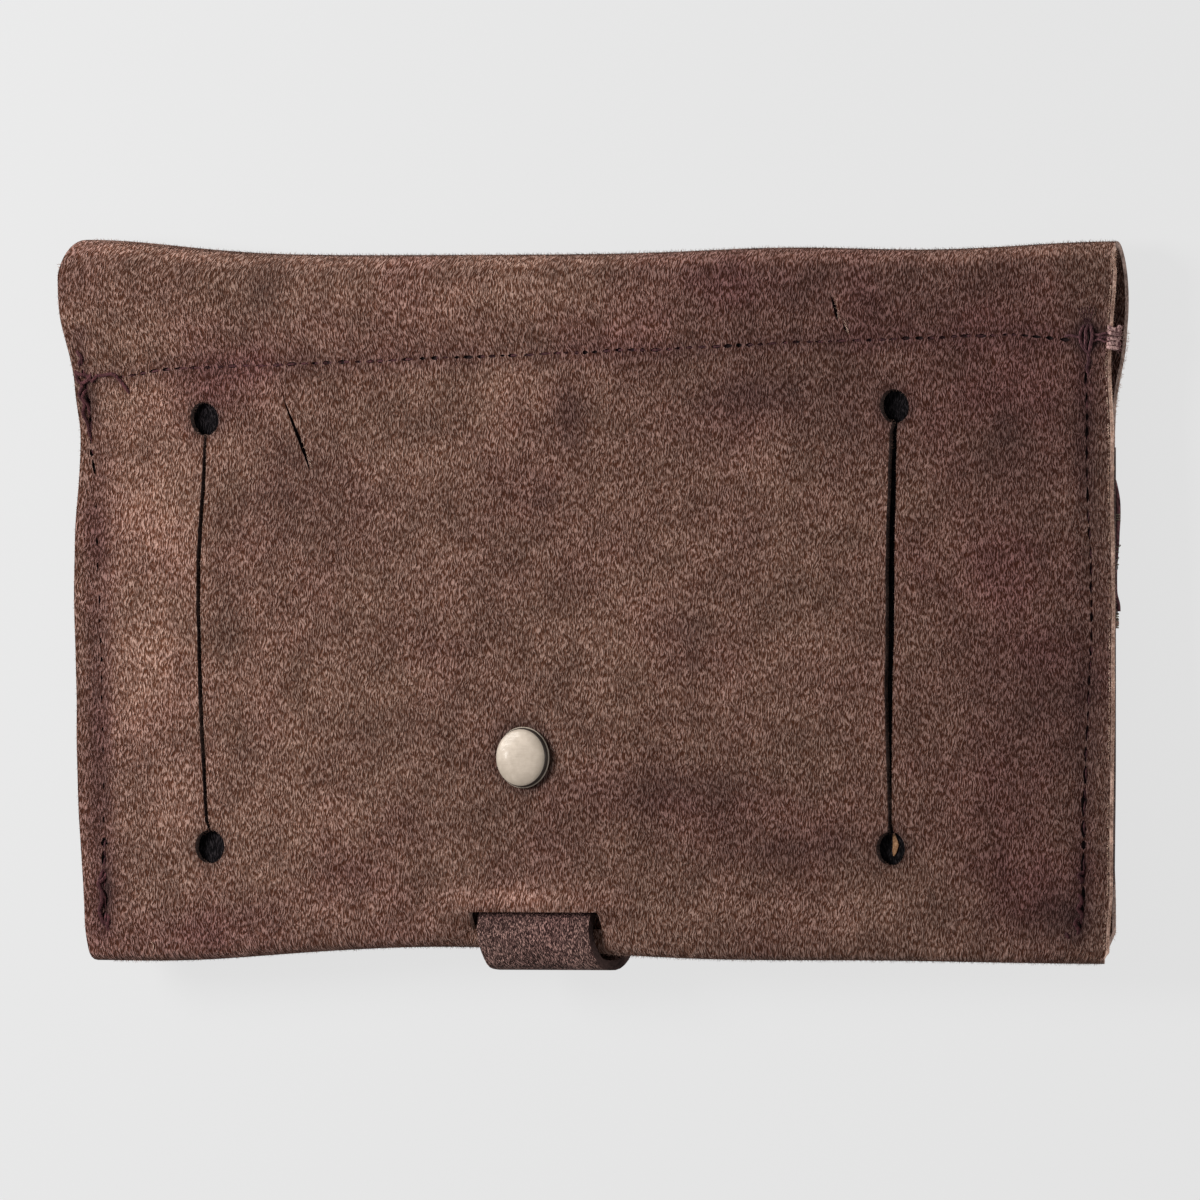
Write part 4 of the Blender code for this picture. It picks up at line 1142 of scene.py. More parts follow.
def strap_drift(at):
    """The strap runs a little askew: it leaves the slot left of its snap and swings to the right."""
    swing = 2.4 * rise(at, 40, 52) - 1.8 + 2.6 * rise(at, 51, 62)
    return MM * (swing - 3.2 * rise(at, 66, 85))


# %% The strap's mesh
STRAP_COLUMNS = 18
strap_bm = bmesh.new()
bmesh.ops.create_grid(strap_bm, x_segments=STRAP_COLUMNS, y_segments=len(strap_line) - 1, size=0.5)
strap_flat = {}
for vert in strap_bm.verts:
    across = vert.co.x * 2
    row = round((vert.co.y + 0.5) * (len(strap_line) - 1))
    x = across * strap_half_width(strap_lengths[row])
    vert.co = (STRAP_X + strap_drift(strap_lengths[row]) + x, *strap_line[row])
    strap_flat[vert] = (x, strap_lengths[row])
keep_flat(strap_bm, strap_flat)
strap_draft = mesh_object("strap_draft", strap_bm, [DARK_SUEDE, STRAP_EDGE_SHADE])
thicken(strap_draft, STRAP_LEATHER, rim=1)
soft = strap_draft.modifiers.new("soft edges", "BEVEL")
soft.width = 0.25 * MM
soft.segments = 2
soft.limit_method = "ANGLE"
soft.angle_limit = math.radians(60)
strap_bm = settle(strap_draft)


def strap_lip_shade(x, y, z):
    """Painted shade under the slot's upper lip: darker and more violet from 3.5 mm below its top up."""
    # This share is 0 from 3.5 mm below the slot's top down, and 1 from 1 mm above it up, on both faces.
    outside = 1 - ramp(-y, -SLOT_TOP - 1 * MM, -SLOT_TOP + 3.5 * MM)
    return 0.3 * outside, 0, 0.34 * outside, 1


paint(strap_bm, strap_lip_shade)
strap = place_piece("strap", strap_bm, [DARK_SUEDE, STRAP_EDGE_SHADE])
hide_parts("closure_strap")
print("strap length in mm:", round(strap_length / MM, 1))

# %% [markdown]
# ## Metal
#
# The rivet's cap is thin pressed brass with a nickel coat that has gone creamy: a nearly flat crown,
# a round shoulder, a short wall and a small rolled foot that catches the light. A turned shape is
# half a profile and one spin. The same cap closes the snap on the front.


# %% Worn nickel
def worn_nickel(name, bright, dull):
    finish, tree, shader = new_finish(name)
    place = add_node(tree, "ShaderNodeTexCoord")["Object"]
    cloud = noise_node(tree, place, 420.0, 4.0, 0.6)
    pits = noise_node(tree, place, 2600.0, 2.0, 0.6)
    streak = stretched(tree, place, 0.7, (400, 5200, 400))
    scratch = noise_node(tree, streak, 1.0, 3.0, 0.6)
    coat = mix_colour(tree, spread(tree, cloud, 0.36, 0.64), dull, bright)
    coat = mix_colour(tree, spread(tree, pits, 0.60, 0.74, 0.0, 0.5), coat, dull)
    height = math_node(tree, "ADD", scratch, math_node(tree, "MULTIPLY", pits, 0.6))
    fill(tree, shader, {"Base Color": coat, "Roughness": spread(tree, scratch, 0.3, 0.7, 0.50, 0.66),
                        "Normal": bump_node(tree, height, 0.012), "Metallic": 0.2,
                        "Coat Weight": 0.09, "Coat Roughness": 0.12})
    return finish


NICKEL = worn_nickel("creamy_nickel", (0.385, 0.318, 0.252, 1), (0.315, 0.258, 0.200, 1))
# Painted shade: the cap's wall is darkened as the shade on its side away from the light.
NICKEL_WALL_SHADE = worn_nickel("nickel_wall_painted_shade", (0.065, 0.048, 0.036, 1), (0.028, 0.020, 0.016, 1))


# %% Domed caps
def turned(profile, steps=56):
    """A closed shape turned round Z from (radius, height) points that start and end on the axis."""
    bm = bmesh.new()
    verts = [bm.verts.new((r, 0, z)) for r, z in profile]
    for a, b in zip(verts, verts[1:]):
        bm.edges.new((a, b))
    bmesh.ops.spin(bm, geom=bm.verts[:] + bm.edges[:], cent=(0, 0, 0), axis=(0, 0, 1),
                   angle=2 * math.pi, steps=steps, use_merge=True)
    bmesh.ops.remove_doubles(bm, verts=bm.verts, dist=1e-7)
    bmesh.ops.recalc_face_normals(bm, faces=bm.faces)
    return bm


# Half the cap's profile, as (radius, height) in mm: its foot and then its shoulder and crown
CAP_SIDE = [(6.02, 0.62), (5.98, 0.80), (5.90, 0.98), (5.76, 1.14), (5.54, 1.28), (5.20, 1.41),
            (4.60, 1.54), (3.80, 1.65), (2.80, 1.735), (1.80, 1.78), (0.90, 1.797)]
CAP_WALL = (0.30, 1.16)
CAP_FOOT = [(5.70, 0.02), (6.05, 0.0), (6.20, 0.05), (6.25, 0.15), (6.20, 0.26), (6.06, 0.32),
            (6.03, 0.42)]


def domed_cap(name, replaced, post_radius, post_length, place, face_down=False):
    half = [(0.0, -post_length), (post_radius, -post_length), (post_radius, 0.02 * MM)]
    half += [(r * MM, z * MM) for r, z in CAP_FOOT + CAP_SIDE] + [(0.0, CAP_RIM + CAP_DOME)]
    bm = turned(half)
    if face_down:
        bmesh.ops.rotate(bm, verts=bm.verts, cent=(0, 0, 0), matrix=Matrix.Rotation(math.pi, 3, "X"))
    # The wall takes the second finish, its painted shade.
    wall_low, wall_high = (height * MM for height in CAP_WALL)
    for face in bm.faces:
        middle = face.calc_center_median()
        if wall_low < abs(middle.z) < wall_high and middle.xy.length > CAP_SIDE[4][0] * MM:
            face.material_index = 1
    bmesh.ops.translate(bm, verts=bm.verts, vec=place)
    cap = place_piece(name, bm, [NICKEL, NICKEL_WALL_SHADE])
    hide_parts(replaced)
    return cap


rivet_face = BACK_FACE + SWELL_OUT + GAP
rivet_post = rivet_face - STRAP_INNER_MID + STRAP_LEATHER / 2
domed_cap("rivet_cap_domed", "back_rivet_cap", 1.8 * MM, rivet_post,
          (RIVET.x, RIVET.y, rivet_face - CAP_SUNK))
strap_outer = STRAP_SNAP_MID - STRAP_LEATHER / 2 - GAP
domed_cap("snap_cap_domed", "snap_cap", 1.4 * MM, STRAP_LEATHER + 2 * GAP + 0.3 * MM,
          (STRAP_X, SNAP_HEIGHT, strap_outer), face_down=True)
for name in ("back_rivet_base", "snap_socket", "snap_stud", "snap_eyelet"):
    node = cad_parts[name]
    node.data.materials.clear()
    node.data.materials.append(NICKEL)

# %% [markdown]
# ## Thread
#
# The seams are sewn with a dark purple thread that has sunk into the nap. A stitch is a short bent
# tube from one needle hole to the next: one is made by spinning a small circle through an arc, and
# its mesh is stamped once for every stitch that still shows. The tacks, the knot and the corner
# threads are longer runs, so they are rings along a smooth line that are bridged.


# %% Thread finish
def sewing_thread(name, dark, pale):
    finish, tree, shader = new_finish(name)
    place = add_node(tree, "ShaderNodeTexCoord")["Object"]
    ply = stretched(tree, place, 0.6, (3600, 1300, 1300))
    fibre = noise_node(tree, ply, 1.0, 2.0, 0.6)
    worn = noise_node(tree, place, 260.0)
    share = math_node(tree, "MULTIPLY", spread(tree, fibre, 0.38, 0.64),
                      spread(tree, worn, 0.36, 0.60, 0.35, 1.0))
    fill(tree, shader, {"Base Color": mix_colour(tree, share, dark, pale),
                        "Normal": bump_node(tree, fibre, 0.05), "Roughness": 0.85,
                        "Specular IOR Level": 0.2})
    return finish


PURPLE_THREAD = sewing_thread("purple_thread", (0.022, 0.005, 0.006, 1), (0.092, 0.028, 0.031, 1))
MAROON_THREAD = sewing_thread("maroon_thread", (0.030, 0.009, 0.012, 1), (0.19, 0.080, 0.085, 1))
WORN_THREAD = sewing_thread("worn_thread", (0.10, 0.040, 0.044, 1), (0.66, 0.42, 0.38, 1))


# %% Stamps and stitches
def stamp(bm, mesh, matrix):
    """Adds a copy of a small mesh, moved by the matrix."""
    copy = mesh.copy()
    copy.transform(matrix)
    bm.from_mesh(copy)
    bpy.data.meshes.remove(copy)


def small_mesh(bm):
    mesh = bpy.data.meshes.new("stamp")
    bm.to_mesh(mesh)
    bm.free()
    return mesh


def stitch_mesh(sides=7, steps=7):
    """A bent tube of length 1 along X, its ends turned down."""
    half_angle = math.radians(62)
    bend = 0.5 / math.sin(half_angle)
    bm = bmesh.new()
    start = Matrix.Rotation(-half_angle, 4, "Y") @ Matrix.Translation((0, 0, bend))
    start = start @ Matrix.Rotation(math.pi / 2, 4, "Y")
    bmesh.ops.create_circle(bm, cap_ends=True, segments=sides, radius=0.065, matrix=start)
    bmesh.ops.spin(bm, geom=bm.faces[:], cent=(0, 0, 0), axis=(0, 1, 0), angle=2 * half_angle,
                   steps=steps)
    bmesh.ops.translate(bm, verts=bm.verts, vec=(0, 0, -bend * math.cos(half_angle)))
    bmesh.ops.recalc_face_normals(bm, faces=bm.faces)
    return small_mesh(bm)


def lay_stitch(bm, mesh, a, b, thickness, lift):
    """Stamps a stitch between two surface points. Its arch is flattened so that it hugs the hide."""
    along = b - a
    length = along.length
    side = Vector((0, 0, 1)).cross(along).normalized()
    upward = along.cross(side).normalized()
    axes = Matrix((along / length, side, upward)).transposed().to_4x4()
    size = Matrix.Diagonal((length, thickness / 0.13, 0.55 * MM / 0.33, 1))
    middle = (a + b) / 2 + upward * (lift - 0.42 * MM)
    stamp(bm, mesh, Matrix.Translation(middle) @ axes @ size)


unit_stitch = stitch_mesh()
seam_bm = bmesh.new()
for number, run in enumerate(SEAM_RUNS):
    for k, (here, there) in enumerate(zip(run, run[1:])):
        worn = seam_worn(number, here)
        if wobble(k, 0.7, 50 + number) > 0.40 - 0.35 * worn:
            continue
        depth = -0.20 * MM - 0.12 * MM * worn + 0.16 * MM * wobble(k, 1.3, 21 + number)
        a, b = back_point(here.x, here.y), back_point(there.x, there.y)
        thickness = (0.42 + 0.08 * wobble(k, 0.9, 70 + number)) * MM
        lay_stitch(seam_bm, unit_stitch, a.lerp(b, 0.04), b.lerp(a, 0.04), thickness, depth)
place_piece("seam_thread", seam_bm, [PURPLE_THREAD])


# %% Runs of thread
def run_thread(bm, points, thickness, sides=7, step=0.45 * MM):
    """A tube along a smooth line through the points, both ends closed."""
    line = smooth_curve(points, step, 2)
    before = None
    for k, point in enumerate(line):
        ahead = (line[min(k + 1, len(line) - 1)] - line[max(k - 1, 0)]).normalized()
        turn = ahead.to_track_quat("Z", "Y").to_matrix().to_4x4()
        last = k in (0, len(line) - 1)
        made = bmesh.ops.create_circle(bm, cap_ends=last, segments=sides, radius=thickness / 2,
                                       matrix=Matrix.Translation(point) @ turn)
        ring = list({edge for vert in made["verts"] for edge in vert.link_edges})
        if before:
            bmesh.ops.bridge_loops(bm, edges=before + ring)
        before = ring


def surface_runs(bm, runs, thickness, over=0.05 * MM):
    """Runs of thread along places given in mm as (x, height, extra height over the hide)."""
    for places in runs:
        points = [back_point(x * MM, y * MM, over + extra * MM) for x, y, extra in places]
        run_thread(bm, points, thickness)


# %% [markdown]
# ## Tacks, knot and corner threads
#
# At the right end of the top seam the thread is tacked and wound round the edge into a knot. At the
# other corners it wanders over the hide. These runs are drawn as places with a height over the hide.
# Apart from a few loose ends, a run starts and ends below the surface, so that no cut end shows.

# %% Bar tack at the right end of the top seam
TACKS = [
    [(117.0, 129.2, -0.4), (116.3, 127.9, 0.35), (116.1, 126.3, 0.5), (116.6, 124.7, 0.35),
     (117.4, 123.4, -0.3)],
    [(117.9, 129.4, -0.4), (117.5, 127.9, 0.5), (117.6, 126.2, 0.7), (117.3, 124.6, 0.4),
     (117.6, 123.2, -0.3)],
    [(118.3, 129.2, -0.4), (118.9, 127.9, 0.4), (119.0, 126.4, 0.5), (118.5, 124.8, 0.35),
     (117.9, 123.4, -0.3)],
    [(117.6, 123.0, -0.1), (117.9, 121.6, 0.2), (117.3, 120.2, 0.1), (117.6, 118.8, -0.4)],
]
CROSSING = [
    [(112.0, 126.7, -0.3), (113.6, 126.9, 0.2), (115.8, 126.5, 0.1), (116.6, 126.2, -0.2)],
    [(119.0, 127.2, -0.1), (120.4, 127.0, 0.2), (121.8, 127.3, 0.1), (123.0, 127.2, -0.3)],
    [(119.0, 125.8, -0.1), (120.6, 126.1, 0.25), (121.9, 125.6, 0.1), (123.0, 125.8, -0.3)],
    [(119.0, 126.5, -0.3), (121.0, 126.5, 0.0), (123.0, 126.6, -0.3)],
]
tack_bm = bmesh.new()
surface_runs(tack_bm, TACKS, 0.72 * MM)
surface_runs(tack_bm, CROSSING, 0.55 * MM)
random.seed(5)
for k in range(5):
    swing = -1.7 + 0.8 * k
    start = Vector((117.6 + 0.25 * swing, 129.2))
    tip = start + Vector((0.9 * swing, 2.6 + random.random()))
    half = start.lerp(tip, 0.55)
    loose_end = [(start.x, start.y, -0.1), (half.x + 0.2, half.y, 0.35), (tip.x, tip.y, 0.15)]
    surface_runs(tack_bm, [loose_end], 0.14 * MM)
place_piece("bar_tack_right", tack_bm, [MAROON_THREAD])

# %% Knot over the right edge
# Turns of thread wind round the edge, a few loops stand out of them, and fibres stick out.
KNOT_OUT = 0.7 * MM


def hung_thread(bm, y, places, thickness, sides=7):
    """A thread through places given as (x, offset in y, z)."""
    run_thread(bm, [Vector((x, y + along, z)) for x, along, z in places], thickness, sides)


def at_edge(y):
    """A place just outside the back's edge at this height, and the level of the outer face there."""
    edge = right_edge(y) + KNOT_OUT
    return edge, back_point(edge - 2 * MM, y).z


knot_bm = bmesh.new()
random.seed(7)
for k in range(5):
    y = (124.4 + 0.92 * k) * MM
    edge, face = at_edge(y)
    lean = (0.5 - random.random()) * 1.2 * MM
    reach = (0.55 + 0.6 * random.random()) * MM
    hung_thread(knot_bm, y, [(edge - 0.9 * MM, lean, face - 0.30 * MM),
                             (edge - 0.3 * MM, lean / 2, face + 0.30 * MM),
                             (edge + 0.45 * MM, 0, face + 0.05 * MM),
                             (edge + reach, -lean / 3, face - 0.8 * MM),
                             (edge + 0.4 * MM, -lean / 2, face - 1.8 * MM),
                             (edge - 0.6 * MM, -lean, face - 2.05 * MM)], 0.86 * MM)
for k in range(5):
    y = (124.6 + 0.8 * k) * MM
    edge, face = at_edge(y)
    turn = 2.2 * k
    side, drop = 1.1 + 0.5 * math.sin(turn), 0.8 + 0.4 * math.cos(turn)
    hung_thread(knot_bm, y, [(edge + 0.5 * MM, 0, face - 0.6 * MM),
                             (edge + side * MM, 0.9 * MM, face - drop * MM),
                             (edge + 0.9 * MM, 1.3 * MM * math.sin(turn), face - 1.3 * MM),
                             (edge + 0.3 * MM, 0.4 * MM, face - 1.7 * MM)], 0.66 * MM)
for k in range(46):
    y = (124.0 + 4.6 * random.random()) * MM
    x = right_edge(y) + MM * (0.7 + 0.4 * random.random())
    start = Vector((x, y, BACK_FACE + 1.4 * MM * (random.random() - 0.5)))
    heading = Vector((0.3 + random.random(), random.random() * 2 - 1, random.random() - 0.4))
    heading = heading.normalized()
    bend = Vector((random.random() - 0.5, random.random() - 0.5, random.random() - 0.5)) * 0.5 * MM
    reach = (0.8 + 0.9 * random.random()) * MM
    fibre = [start, start + heading * reach * 0.5 + bend, start + heading * reach]
    run_thread(knot_bm, fibre, 0.11 * MM, sides=3)
place_piece("edge_knot_right", knot_bm, [WORN_THREAD])

# %% Thread at the other corners
UPPER_LEFT = [
    [(-121.2, 120.3, -0.4), (-120.2, 119.6, 0.3), (-118.6, 119.3, 0.1), (-117.4, 118.2, 0.35),
     (-116.4, 119.2, 0.2), (-114.6, 119.4, 0.1), (-112.4, 119.6, 0.35), (-111.0, 118.4, 0.3),
     (-109.6, 116.6, 0.2), (-109.0, 115.4, -0.4)],
    [(-121.2, 121.2, -0.4), (-120.9, 118.6, 0.3), (-120.0, 117.3, 0.35), (-121.0, 115.4, 0.3),
     (-120.2, 113.6, 0.35), (-120.9, 111.6, 0.25), (-120.2, 109.6, 0.2), (-120.0, 107.6, 0.1),
     (-119.6, 106.0, -0.4)],
    [(-121.4, 118.4, -0.3), (-120.0, 117.8, 0.4), (-118.2, 118.6, 0.3), (-117.6, 120.1, -0.3)],
    [(-119.2, 117.0, -0.3), (-120.2, 115.0, 0.45), (-119.4, 113.0, 0.2), (-120.0, 110.8, -0.3)],
    [(-120.6, 124.6, -0.4), (-119.8, 123.8, 0.25), (-119.2, 122.9, 0.2), (-119.9, 122.0, 0.2),
     (-120.2, 121.0, -0.4)],
    [(-119.6, 124.0, -0.4), (-119.3, 122.6, 0.2), (-119.8, 121.2, -0.4)],
]
LOWER_CORNERS = [
    [(-116.9, 18.8, -0.4), (-117.2, 17.0, 0.15), (-117.6, 15.4, 0.3), (-116.9, 13.8, 0.15),
     (-116.4, 12.2, -0.3)],
    [(-117.4, 13.6, -0.3), (-116.9, 12.0, 0.3), (-117.5, 10.2, 0.2), (-117.1, 8.6, 0.15),
     (-116.5, 6.8, -0.4)],
    [(-116.0, 17.6, -0.3), (-116.6, 16.4, 0.25), (-117.5, 15.9, 0.3), (-118.2, 15.2, -0.3)],
    [(-115.6, 9.4, -0.3), (-115.3, 8.2, 0.2), (-115.6, 6.8, 0.15), (-115.2, 5.9, -0.3)],
    [(114.4, 14.2, -0.3), (115.3, 12.6, 0.3), (114.5, 11.2, 0.3), (115.4, 9.8, 0.1),
     (114.4, 8.6, -0.4)],
    [(115.6, 18.6, -0.3), (114.6, 17.9, 0.3), (115.4, 17.0, 0.25), (114.8, 16.2, -0.3)],
    [(114.4, 9.4, -0.3), (113.8, 8.2, 0.25), (114.6, 6.8, 0.1), (114.0, 5.8, -0.4)],
    [(111.6, 6.2, -0.2), (112.0, 5.8, 0.2), (112.3, 5.3, -0.2)],
]
corner_bm = bmesh.new()
surface_runs(corner_bm, UPPER_LEFT, 0.80 * MM, over=-0.14 * MM)
surface_runs(corner_bm, LOWER_CORNERS, 0.85 * MM, over=-0.12 * MM)
place_piece("corner_thread", corner_bm, [PURPLE_THREAD])

# %% [markdown]
# ## Beads
#
# The strip across the flap is loom work: rows of small glass beads on thin warp threads, with a
# larger bead row along both sides and stepped diamonds in cream. Only its ends reach past the back's
# edge in the photograph. A bead is a low sphere with flattened poles, stamped more than two thousand
# times, so it has 32 faces.


# %% Bead glass
def bead_glass(name, first, second, roughness):
    """Opaque glass whose colour differs a little from bead to bead."""
    finish, tree, shader = new_finish(name)
    place = add_node(tree, "ShaderNodeTexCoord")["Object"]
    lot = noise_node(tree, place, 640.0, 1.0)
    grime = noise_node(tree, place, 2200.0, 2.0, 0.6)
    fill(tree, shader, {"Base Color": mix_colour(tree, spread(tree, lot, 0.34, 0.66), first, second),
                        "Roughness": spread(tree, grime, 0.3, 0.7, roughness, roughness + 0.3),
                        "Normal": bump_node(tree, grime, 0.02)})
    return finish


DARK_BEAD = bead_glass("dark_bead_glass", (0.012, 0.009, 0.010, 1), (0.040, 0.022, 0.020, 1), 0.18)
CREAM_BEAD = bead_glass("cream_bead_glass", (0.52, 0.44, 0.31, 1), (0.70, 0.63, 0.50, 1), 0.22)
RED_BEAD = bead_glass("red_bead_glass", (0.16, 0.018, 0.020, 1), (0.30, 0.035, 0.035, 1), 0.2)
OLIVE_THREAD = sewing_thread("olive_thread", (0.10, 0.08, 0.05, 1), (0.34, 0.30, 0.22, 1))


# %% Bead strip
POLE = 0.82


def bead_mesh(radius, half_length, sides, rings):
    """A bead along X: a sphere whose poles are cut flat, where the thread goes in."""
    bm = bmesh.new()
    bmesh.ops.create_uvsphere(bm, u_segments=sides, v_segments=rings, radius=1.0)
    for vert in bm.verts:
        vert.co.z = max(-POLE, min(POLE, vert.co.z))
    bmesh.ops.rotate(bm, verts=bm.verts, cent=(0, 0, 0), matrix=Matrix.Rotation(math.pi / 2, 3, "Y"))
    bmesh.ops.scale(bm, verts=bm.verts, vec=(half_length / POLE, radius, radius))
    return small_mesh(bm)


STRIP_HALF = HALF_WIDTH - FLAP_INSET - 0.6 * MM
STRIP_HEIGHT = 2 * (2 * EDGE_BEAD + GAP) + BEAD_ROWS * BEAD_ROW
STRIP_MIDDLE = STRIP_BOTTOM + STRIP_HEIGHT / 2
ROW_START = STRIP_MIDDLE - BEAD_ROWS * BEAD_ROW / 2
BEADS_IN_ROW = round(2 * STRIP_HALF / BEAD_PITCH)
DIAMOND_ROWS, DIAMOND_SPACING, DIAMOND_COUNT = 5, 44 * MM, 5
bead_level = -GAP - 0.78 * MM


def diamond_at(x, row):
    """Number of the diamond that this bead belongs to, or None."""
    for number in range(DIAMOND_COUNT):
        middle = (number - (DIAMOND_COUNT - 1) / 2) * DIAMOND_SPACING
        if abs(x - middle) < (DIAMOND_ROWS + 1 - abs(row - BEAD_ROWS // 2)) * BEAD_PITCH:
            return number
    return None


# %% Small beads
small_bead = bead_mesh(0.72 * MM, 0.70 * MM, 8, 4)
ground_bm, light_bm = bmesh.new(), bmesh.new()
random.seed(3)
LOST_BEADS = {2: 1, 3: 2, 4: 2, 5: 1}
for row in range(BEAD_ROWS):
    for k in range(BEADS_IN_ROW - LOST_BEADS.get(row, 0)):
        x = -STRIP_HALF + (k + 0.5) * 2 * STRIP_HALF / BEADS_IN_ROW
        y = ROW_START + (row + 0.5) * BEAD_ROW + 0.05 * MM * (random.random() - 0.5)
        z = bead_level + 0.08 * MM * (random.random() - 0.5)
        tip = Matrix.Rotation(0.12 * (random.random() - 0.5), 4, "Z")
        target = ground_bm if diamond_at(x, row) is None else light_bm
        stamp(target, small_bead, Matrix.Translation((x, y, z)) @ tip)
ground_beads = place_piece("beads_ground", ground_bm, [DARK_BEAD])
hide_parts("bead_strip_ground")
light_beads = place_piece("beads_diamonds", light_bm, [CREAM_BEAD])
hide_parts(*[f"bead_diamond_{n + 1}" for n in range(DIAMOND_COUNT)])

# %% Large beads along both edges
large_bead = bead_mesh(0.98 * MM, 0.90 * MM, 10, 6)
EDGE_BEADS = 120
red_bm = bmesh.new()
for y in (STRIP_BOTTOM + EDGE_BEAD, STRIP_BOTTOM + STRIP_HEIGHT - EDGE_BEAD):
    for k in range(EDGE_BEADS):
        x = -STRIP_HALF + (k + 0.5) * 2 * STRIP_HALF / EDGE_BEADS
        z = -GAP - EDGE_BEAD + 0.06 * MM * (random.random() - 0.5)
        stamp(red_bm, large_bead, Matrix.Translation((x, y, z)))
red_beads = place_piece("beads_edges", red_bm, [RED_BEAD])
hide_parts("bead_edge_lower", "bead_edge_upper")

# %% [markdown]
# ## Threads and backing of the strip
#
# Warp threads run between the rows of beads. At the strip's ends they are bound into a thick edge,
# and a few ends come out of it, which the photograph shows. A dark felt behind the beads keeps the
# hide from showing between them.

# %% Warp threads and their ends
warp_bm = bmesh.new()
for row in range(BEAD_ROWS + 1):
    y = ROW_START + row * BEAD_ROW
    points = [Vector((STRIP_HALF * share, y, bead_level + 0.1 * MM))
              for share in (-0.998, -0.5, 0, 0.5, 0.998)]
    run_thread(warp_bm, points, 0.26 * MM, sides=5, step=6 * MM)
for k in range(7):
    y = STRIP_BOTTOM + (0.1 + 0.45 * k) * MM
    edge = right_edge(y) - FLAP_INSET
    bow = 0.35 * MM * wobble(k, 0.9, 33)
    hung_thread(warp_bm, y, [(edge - 1.0 * MM, 0, -0.12 * MM), (edge + 0.25 * MM, bow, 0.1 * MM),
                             (edge + 0.35 * MM, -bow, 0.9 * MM), (edge - 0.4 * MM, 0, 1.55 * MM)],
                0.28 * MM, sides=5)
BOUND_END = [(119.1, 97.6), (119.6, 95.7), (120.0, 93.6), (120.1, 91.5), (120.05, 89.4),
             (119.9, 87.3), (119.8, 85.2), (119.6, 83.1), (119.4, 81.0), (119.3, 78.9),
             (119.3, 76.8), (119.4, 74.7), (120.0, 72.6), (120.1, 71.2)]
bundle_bm = bmesh.new()
for side, start in ((1, 0.0), (-1, 0.4)):
    points = [Vector((side * (outer - 0.5 - start) * MM, y * MM, bead_level)) for outer, y in BOUND_END]
    run_thread(bundle_bm, points, 1.0 * MM, sides=9)
place_piece("strip_end_binding", bundle_bm, [MAROON_THREAD])
for k, y in enumerate((90.9, 90.2, 89.6, 84.4, 83.2, 81.9, 80.7, 72.9, 72.1, 71.4)):
    edge = STRIP_HALF + (0.45 if y > 84 else 0.05) * MM
    bow = 0.5 * MM * wobble(k, 0.9, 35)
    hung_thread(warp_bm, y * MM, [(edge - 1.0 * MM, 0, bead_level + 0.75 * MM),
                                  (edge - 0.1 * MM, bow, bead_level + 0.5 * MM),
                                  (edge + 0.1 * MM, 0, bead_level),
                                  (edge - 0.2 * MM, -bow, bead_level - 0.5 * MM),
                                  (edge - 1.0 * MM, 0, bead_level - 0.7 * MM)], 0.2 * MM, sides=5)
place_piece("warp_threads", warp_bm, [OLIVE_THREAD])

# %% Backing of the strip
backing_bm = bmesh.new()
bmesh.ops.create_grid(backing_bm, x_segments=120, y_segments=16, size=0.5)
for vert in backing_bm.verts:
    x = vert.co.x * 2 * (STRIP_HALF - 0.4 * MM)
    y = STRIP_MIDDLE + vert.co.y * (STRIP_HEIGHT - 1.2 * MM)
    vert.co = (x, y, -GAP + 0.02 * MM + 0.06 * MM * noise.noise(Vector((x, y, 0)) * 300))
bmesh.ops.solidify(backing_bm, geom=backing_bm.faces[:], thickness=0.22 * MM)
bmesh.ops.recalc_face_normals(backing_bm, faces=backing_bm.faces)
BACKING_FELT = raw_leather("backing_felt", (0.015, 0.012, 0.010, 1), (0.06, 0.05, 0.04, 1))
place_piece("strip_backing", backing_bm, [BACKING_FELT])

# %% [markdown]
# ## Fuzz
#
# Every cut through suede shows a fringe of fibres, and the nap stands out past the silhouette. A tuft
# is a handful of three-sided needles. Of each kind of tuft eight different ones are made once, and
# stamped along the edges, the folds and the slits, drawn and turned at random from a fixed seed.


# %% Tufts
def jitter():
    return random.random() - 0.5


def tuft_mesh(count, reach, thickness, spread_angle):
    """A handful of needles that stand along Z on a patch a millimetre across."""
    bm = bmesh.new()
    for _ in range(count):
        length = reach * (0.45 + 0.75 * random.random())
        lean = Matrix.Rotation(jitter() * spread_angle, 4, "X")
        lean = lean @ Matrix.Rotation(jitter() * spread_angle, 4, "Y")
        foot = Vector((jitter() * 1.0 * MM, jitter() * 1.15 * MM, 0))
        stand = Matrix.Translation(foot) @ lean @ Matrix.Translation((0, 0, length * 0.38))
        bmesh.ops.create_cone(bm, cap_ends=True, segments=3, radius1=thickness / 2,
                              radius2=thickness / 7, depth=length, matrix=stand)
    return small_mesh(bm)


random.seed(12)
long_tufts = [tuft_mesh(11, 0.62 * MM, 0.11 * MM, 2.4) for _ in range(8)]
short_tufts = [tuft_mesh(8, 0.55 * MM, 0.085 * MM, 2.6) for _ in range(8)]
nap_tufts = [tuft_mesh(7, 0.80 * MM, 0.09 * MM, 2.2) for _ in range(8)]
lip_tufts = [tuft_mesh(9, 0.60 * MM, 0.15 * MM, 2.4) for _ in range(8)]
print("needles in a tuft:", [len(tufts[0].polygons) // 5 for tufts in (long_tufts, short_tufts)])

# %% Laying a fringe
ALONG_X, ALONG_Y = Vector((1, 0, 0)), Vector((0, 1, 0))


